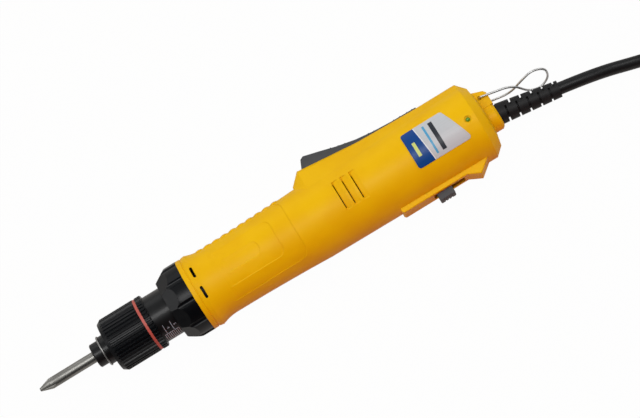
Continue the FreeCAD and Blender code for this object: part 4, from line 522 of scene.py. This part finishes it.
def tick_row(name, count, first, pitch, start, sweep):
    """Row of ticks on the tube: places in millimetres, angles in degrees from the lever side."""
    mesh = bpy.data.meshes.new(name)
    piece = bpy.data.objects.new(name, mesh)
    SCENE.collection.objects.link(piece)
    modifier = piece.modifiers.new("ticks", "NODES")
    modifier.node_group = tick_tree
    values = {"Count": count, "First": first * MM, "Pitch": pitch * MM,
              "Start Angle": math.radians(start), "Sweep Angle": math.radians(sweep),
              "Radius": TUBE_RADIUS - LINE_SINK, "Line Radius": LINE_RADIUS, "Material": SCALE_WHITE}
    for item in tick_tree.interface.items_tree:
        if item.in_out == "INPUT":
            modifier[item.identifier] = values[item.name]
    made = bpy.data.meshes.new_from_object(piece.evaluated_get(bpy.context.evaluated_depsgraph_get()))
    piece.modifiers.remove(modifier)
    piece.data = made
    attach(piece, "housing")
    return piece


ladder = tick_row("scale_ladder", count=9, first=LADDER_START, pitch=1.0, start=LADDER_EDGE, sweep=33.6)
long_ticks = tick_row("scale_ticks", count=2, first=39.6, pitch=4.2, start=124.0, sweep=24.6)
print("ticks:", len(ladder.data.polygons), len(long_ticks.data.polygons), "faces")

# %% [markdown]
# The line along the ladder's edge is one straight bead. The numbers are flat text, wrapped on the tube:
# across the text runs the angle, and up the text runs the spindle.

# %% Edge line and numbers
DIGIT_PLACES = {"4": 40.9, "5": 44.8}     # along the spindle, in millimetres
DIGIT_ANGLE = math.radians(136.0)
DIGIT_SIZE = 2.2 * MM
DIGIT_DEPTH = 0.02 * MM
DIGIT_LIFT = 0.03 * MM


def wrapped(name, curve, place):
    """Piece from a curve whose points are moved by a function."""
    source = bpy.data.objects.new(name, curve)
    SCENE.collection.objects.link(source)
    mesh = bpy.data.meshes.new_from_object(source.evaluated_get(bpy.context.evaluated_depsgraph_get()))
    bpy.data.objects.remove(source)
    for vertex in mesh.vertices:
        vertex.co = place(vertex.co)
    mesh.materials.clear()
    mesh.materials.append(SCALE_WHITE)
    piece = bpy.data.objects.new(name, mesh)
    SCENE.collection.objects.link(piece)
    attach(piece, "housing")
    return piece


def on_tube(x, angle, radius):
    return Vector((x, radius * math.cos(angle), radius * math.sin(angle)))


edge = bpy.data.curves.new("scale_edge", "CURVE")
edge.dimensions = "3D"
edge.bevel_depth = LINE_RADIUS
edge.use_fill_caps = True
run = edge.splines.new("POLY")
run.points.add(1)
for point, x in zip(run.points, (LADDER_START, LADDER_END)):
    point.co = (*on_tube(x * MM, math.radians(LADDER_EDGE), TUBE_RADIUS - LINE_SINK), 1.0)
wrapped("scale_edge", edge, lambda spot: spot)

for digit, x in DIGIT_PLACES.items():
    letters = bpy.data.curves.new("scale_number_" + digit, "FONT")
    letters.body = digit
    letters.size = DIGIT_SIZE
    letters.align_x = "CENTER"
    letters.extrude = DIGIT_DEPTH
    wrapped("scale_number_" + digit, letters, lambda spot, x=x: on_tube(
        x * MM + spot.y, DIGIT_ANGLE + spot.x / TUBE_RADIUS, TUBE_RADIUS + DIGIT_LIFT + spot.z))
print("scale has an edge line and two numbers")

# %% [markdown]
# ## Cord
# The cord leaves the strain relief straight, sinks to the floor under its own weight and runs out of the
# picture. Past the edge it is wound flat into a small tied coil that ends in the plug. One NURBS curve
# follows the same corners as the solid, because a spline bends as a jacket does, with no kinks. The coil's
# control points stand on polygons round each turn, so that the curve touches the turn's own circle.

# %% One curve from the strain relief to the plug
CORD_RADIUS = 3.4 * MM
CORD_ROUTE = [(279.179, -7.550, 0.0), (298.933, -10.679, 0.0), (322.4, -15.0, -9.075), (347.0, -19.4, -16.5),
              (367.5, -21.3, -16.5), (387.0, -22.5, -16.5)]
CORD_TAIL = [(367.233, 21.142, 9.9), (366.623, 14.370, 9.9)]
COIL_CENTRE = (397.510, 18.415)
COIL_FIRST_ANGLE = math.radians(-95.147)
COIL_OUTER, COIL_PITCH, COIL_LOW = 41.5, 7.4, -16.5
# Each leg of the coil: its turns, how fast its winding reverses, and its rise in millimetres
COIL_LEGS = [(1.5, 0, 0), (0.5, 2, 7.6), (1.5, 0, 0), (0.5, 2, 7.6), (1.25, 0, 0), (0.5, 1, 11.2)]
POINTS_PER_TURN = 14


def coil_corner(turn):
    """Corner of the polygon round the coil after a number of turns, in millimetres."""
    radius, height = COIL_OUTER, COIL_LOW
    way, left = -1.0, turn
    for turns, curl, rise in COIL_LEGS:
        done = min(left, turns)
        share = done / turns
        radius += way * COIL_PITCH * (done - curl * done ** 2)
        height += rise * share ** 2 * (3 - 2 * share)
        way *= 1 - 2 * curl * done
        left -= done
    radius /= math.cos(math.pi / POINTS_PER_TURN)
    angle = COIL_FIRST_ANGLE + 2 * math.pi * turn
    return (COIL_CENTRE[0] + radius * math.cos(angle), COIL_CENTRE[1] + radius * math.sin(angle), height)


corner_count = int(POINTS_PER_TURN * sum(turns for turns, _, _ in COIL_LEGS))
corners = CORD_ROUTE + [coil_corner((i + 0.5) / POINTS_PER_TURN) for i in range(corner_count)] + CORD_TAIL
curve = bpy.data.curves.new("cord_line", "CURVE")
curve.dimensions = "3D"
curve.bevel_depth = CORD_RADIUS
curve.bevel_resolution = 5
curve.use_fill_caps = True
curve.resolution_u = 8
spline = curve.splines.new("NURBS")
spline.points.add(len(corners) - 1)
for point, corner in zip(spline.points, corners):
    point.co = (*(c * MM for c in corner), 1.0)
spline.order_u = 3
spline.use_endpoint_u = True
curve.materials.append(JACKET)
cord = bpy.data.objects.new("power_cord", curve)
SCENE.collection.objects.link(cord)
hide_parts("cord", "cord_coil")
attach(cord, "housing")
print("cord has", len(corners), "control points")

# %% [markdown]
# ## Floor, world and lamps
# The studio is a pale floor under soft white lamps: a long strip overhead, a broad one on the lever side and
# a small one past each end. The world is dark toward the switch side, where a warm lamp without highlights
# turns the yellow to amber. The camera sees floor and world nearly white, while the floor still takes a faint
# shadow, and reflections see about half of that white.

# %% Studio
FLOOR_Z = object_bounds()[0][2]
FLOOR_HALF = 3.0
FLOOR_COLOUR = (0.54, 0.48, 0.42, 1.0)
FULL_WHITE = (1.0, 1.0, 1.0, 1.0)
REFLECTED_WHITE = 0.5
WORLD_FILL = 0.25
FLOOR_WHITE = 0.98
DARK_FROM, LIT_FROM = -0.7, 0.1           # Y of the directions where the world is dark and fully lit
WHITE_LIGHT = (1.0, 1.0, 1.0)
WARM_LIGHT = (1.0, 0.08, 0.01)


def background_rays(wire):
    """Masks of the rays that see the studio's full white, and of reflections, which see part of it."""
    path = wire.node("ShaderNodeLightPath").socket.node
    rays = [Wire(wire.tree, path.outputs[name]) for name in
            ("Is Camera Ray", "Is Glossy Ray", "Is Transmission Ray")]
    return rays[0].math("MAXIMUM", rays[0], rays[2]), rays[1]


floor_mesh = bpy.data.meshes.new("studio_floor")
floor_corners = [(x * FLOOR_HALF, y * FLOOR_HALF, FLOOR_Z) for x, y in ((-1, -1), (1, -1), (1, 1), (-1, 1))]
floor_mesh.from_pydata(floor_corners, [], [(0, 1, 2, 3)])
floor = bpy.data.objects.new("studio_floor", floor_mesh)
SCENE.collection.objects.link(floor)
floor_finish = bpy.data.materials.new("pale_floor")
floor_finish.use_nodes = True
floor_tree = floor_finish.node_tree
floor_tree.nodes.clear()
wire = Wire(floor_tree)
matte = wire.node("ShaderNodeBsdfDiffuse", {}, {"Color": FLOOR_COLOUR})
white = wire.node("ShaderNodeEmission", {}, {"Color": FULL_WHITE, "Strength": 1.0})
camera_ray, glossy_ray = background_rays(wire)
whiteness = camera_ray.math("MAXIMUM", FLOOR_WHITE * camera_ray, REFLECTED_WHITE * glossy_ray)
blend = wire.node("ShaderNodeMixShader", {}, {0: whiteness, 1: matte, 2: white})
wire.node("ShaderNodeOutputMaterial", {}, {"Surface": blend})
floor_mesh.materials.append(floor_finish)

world = bpy.data.worlds.new("studio_world")
world.use_nodes = True
world.node_tree.nodes.clear()
wire = Wire(world.node_tree)
direction = wire.node("ShaderNodeTexCoord", out="Generated")
lit_side = axis_values(direction)[1].ramp(DARK_FROM, LIT_FROM)
camera_ray, glossy_ray = background_rays(wire)
unseen = lit_side * (WORLD_FILL + (REFLECTED_WHITE - WORLD_FILL) * glossy_ray)
light = wire.node("ShaderNodeBackground", {}, {
    "Color": FULL_WHITE, "Strength": camera_ray + (1 - camera_ray) * unseen})
wire.node("ShaderNodeOutputWorld", {}, {"Surface": light})
SCENE.world = world
SCENE.view_settings.view_transform = "Standard"


def softbox(name, place, size, watts, colour=WHITE_LIGHT):
    """Area lamp that looks at the middle of the tool."""
    data = bpy.data.lights.new(name, "AREA")
    data.shape = "RECTANGLE"
    data.size, data.size_y = size
    data.energy = watts
    data.color = colour
    lamp = bpy.data.objects.new(name, data)
    way = Vector(place) - TARGET
    lamp.matrix_world = Matrix.Translation(place) @ way.to_track_quat("Z", "Y").to_matrix().to_4x4()
    SCENE.collection.objects.link(lamp)
    return lamp


softbox("overhead_softbox", (0.14, -0.02, 0.97), size=(0.9, 0.25), watts=5.4)
softbox("lever_side_softbox", (0.14, 0.95, 0.40), size=(0.9, 0.5), watts=1.4)
softbox("bit_end_softbox", (-0.73, 0.26, 0.57), size=(0.4, 0.4), watts=2.0)
softbox("cord_end_softbox", (1.05, 0.20, 0.55), size=(0.4, 0.4), watts=2.2)
warm_fill = softbox("switch_side_fill", (0.14, -0.95, 0.10), size=(0.9, 0.5), watts=2.8, colour=WARM_LIGHT)
warm_fill.visible_glossy = False
print("floor at", round(FLOOR_Z, 4))
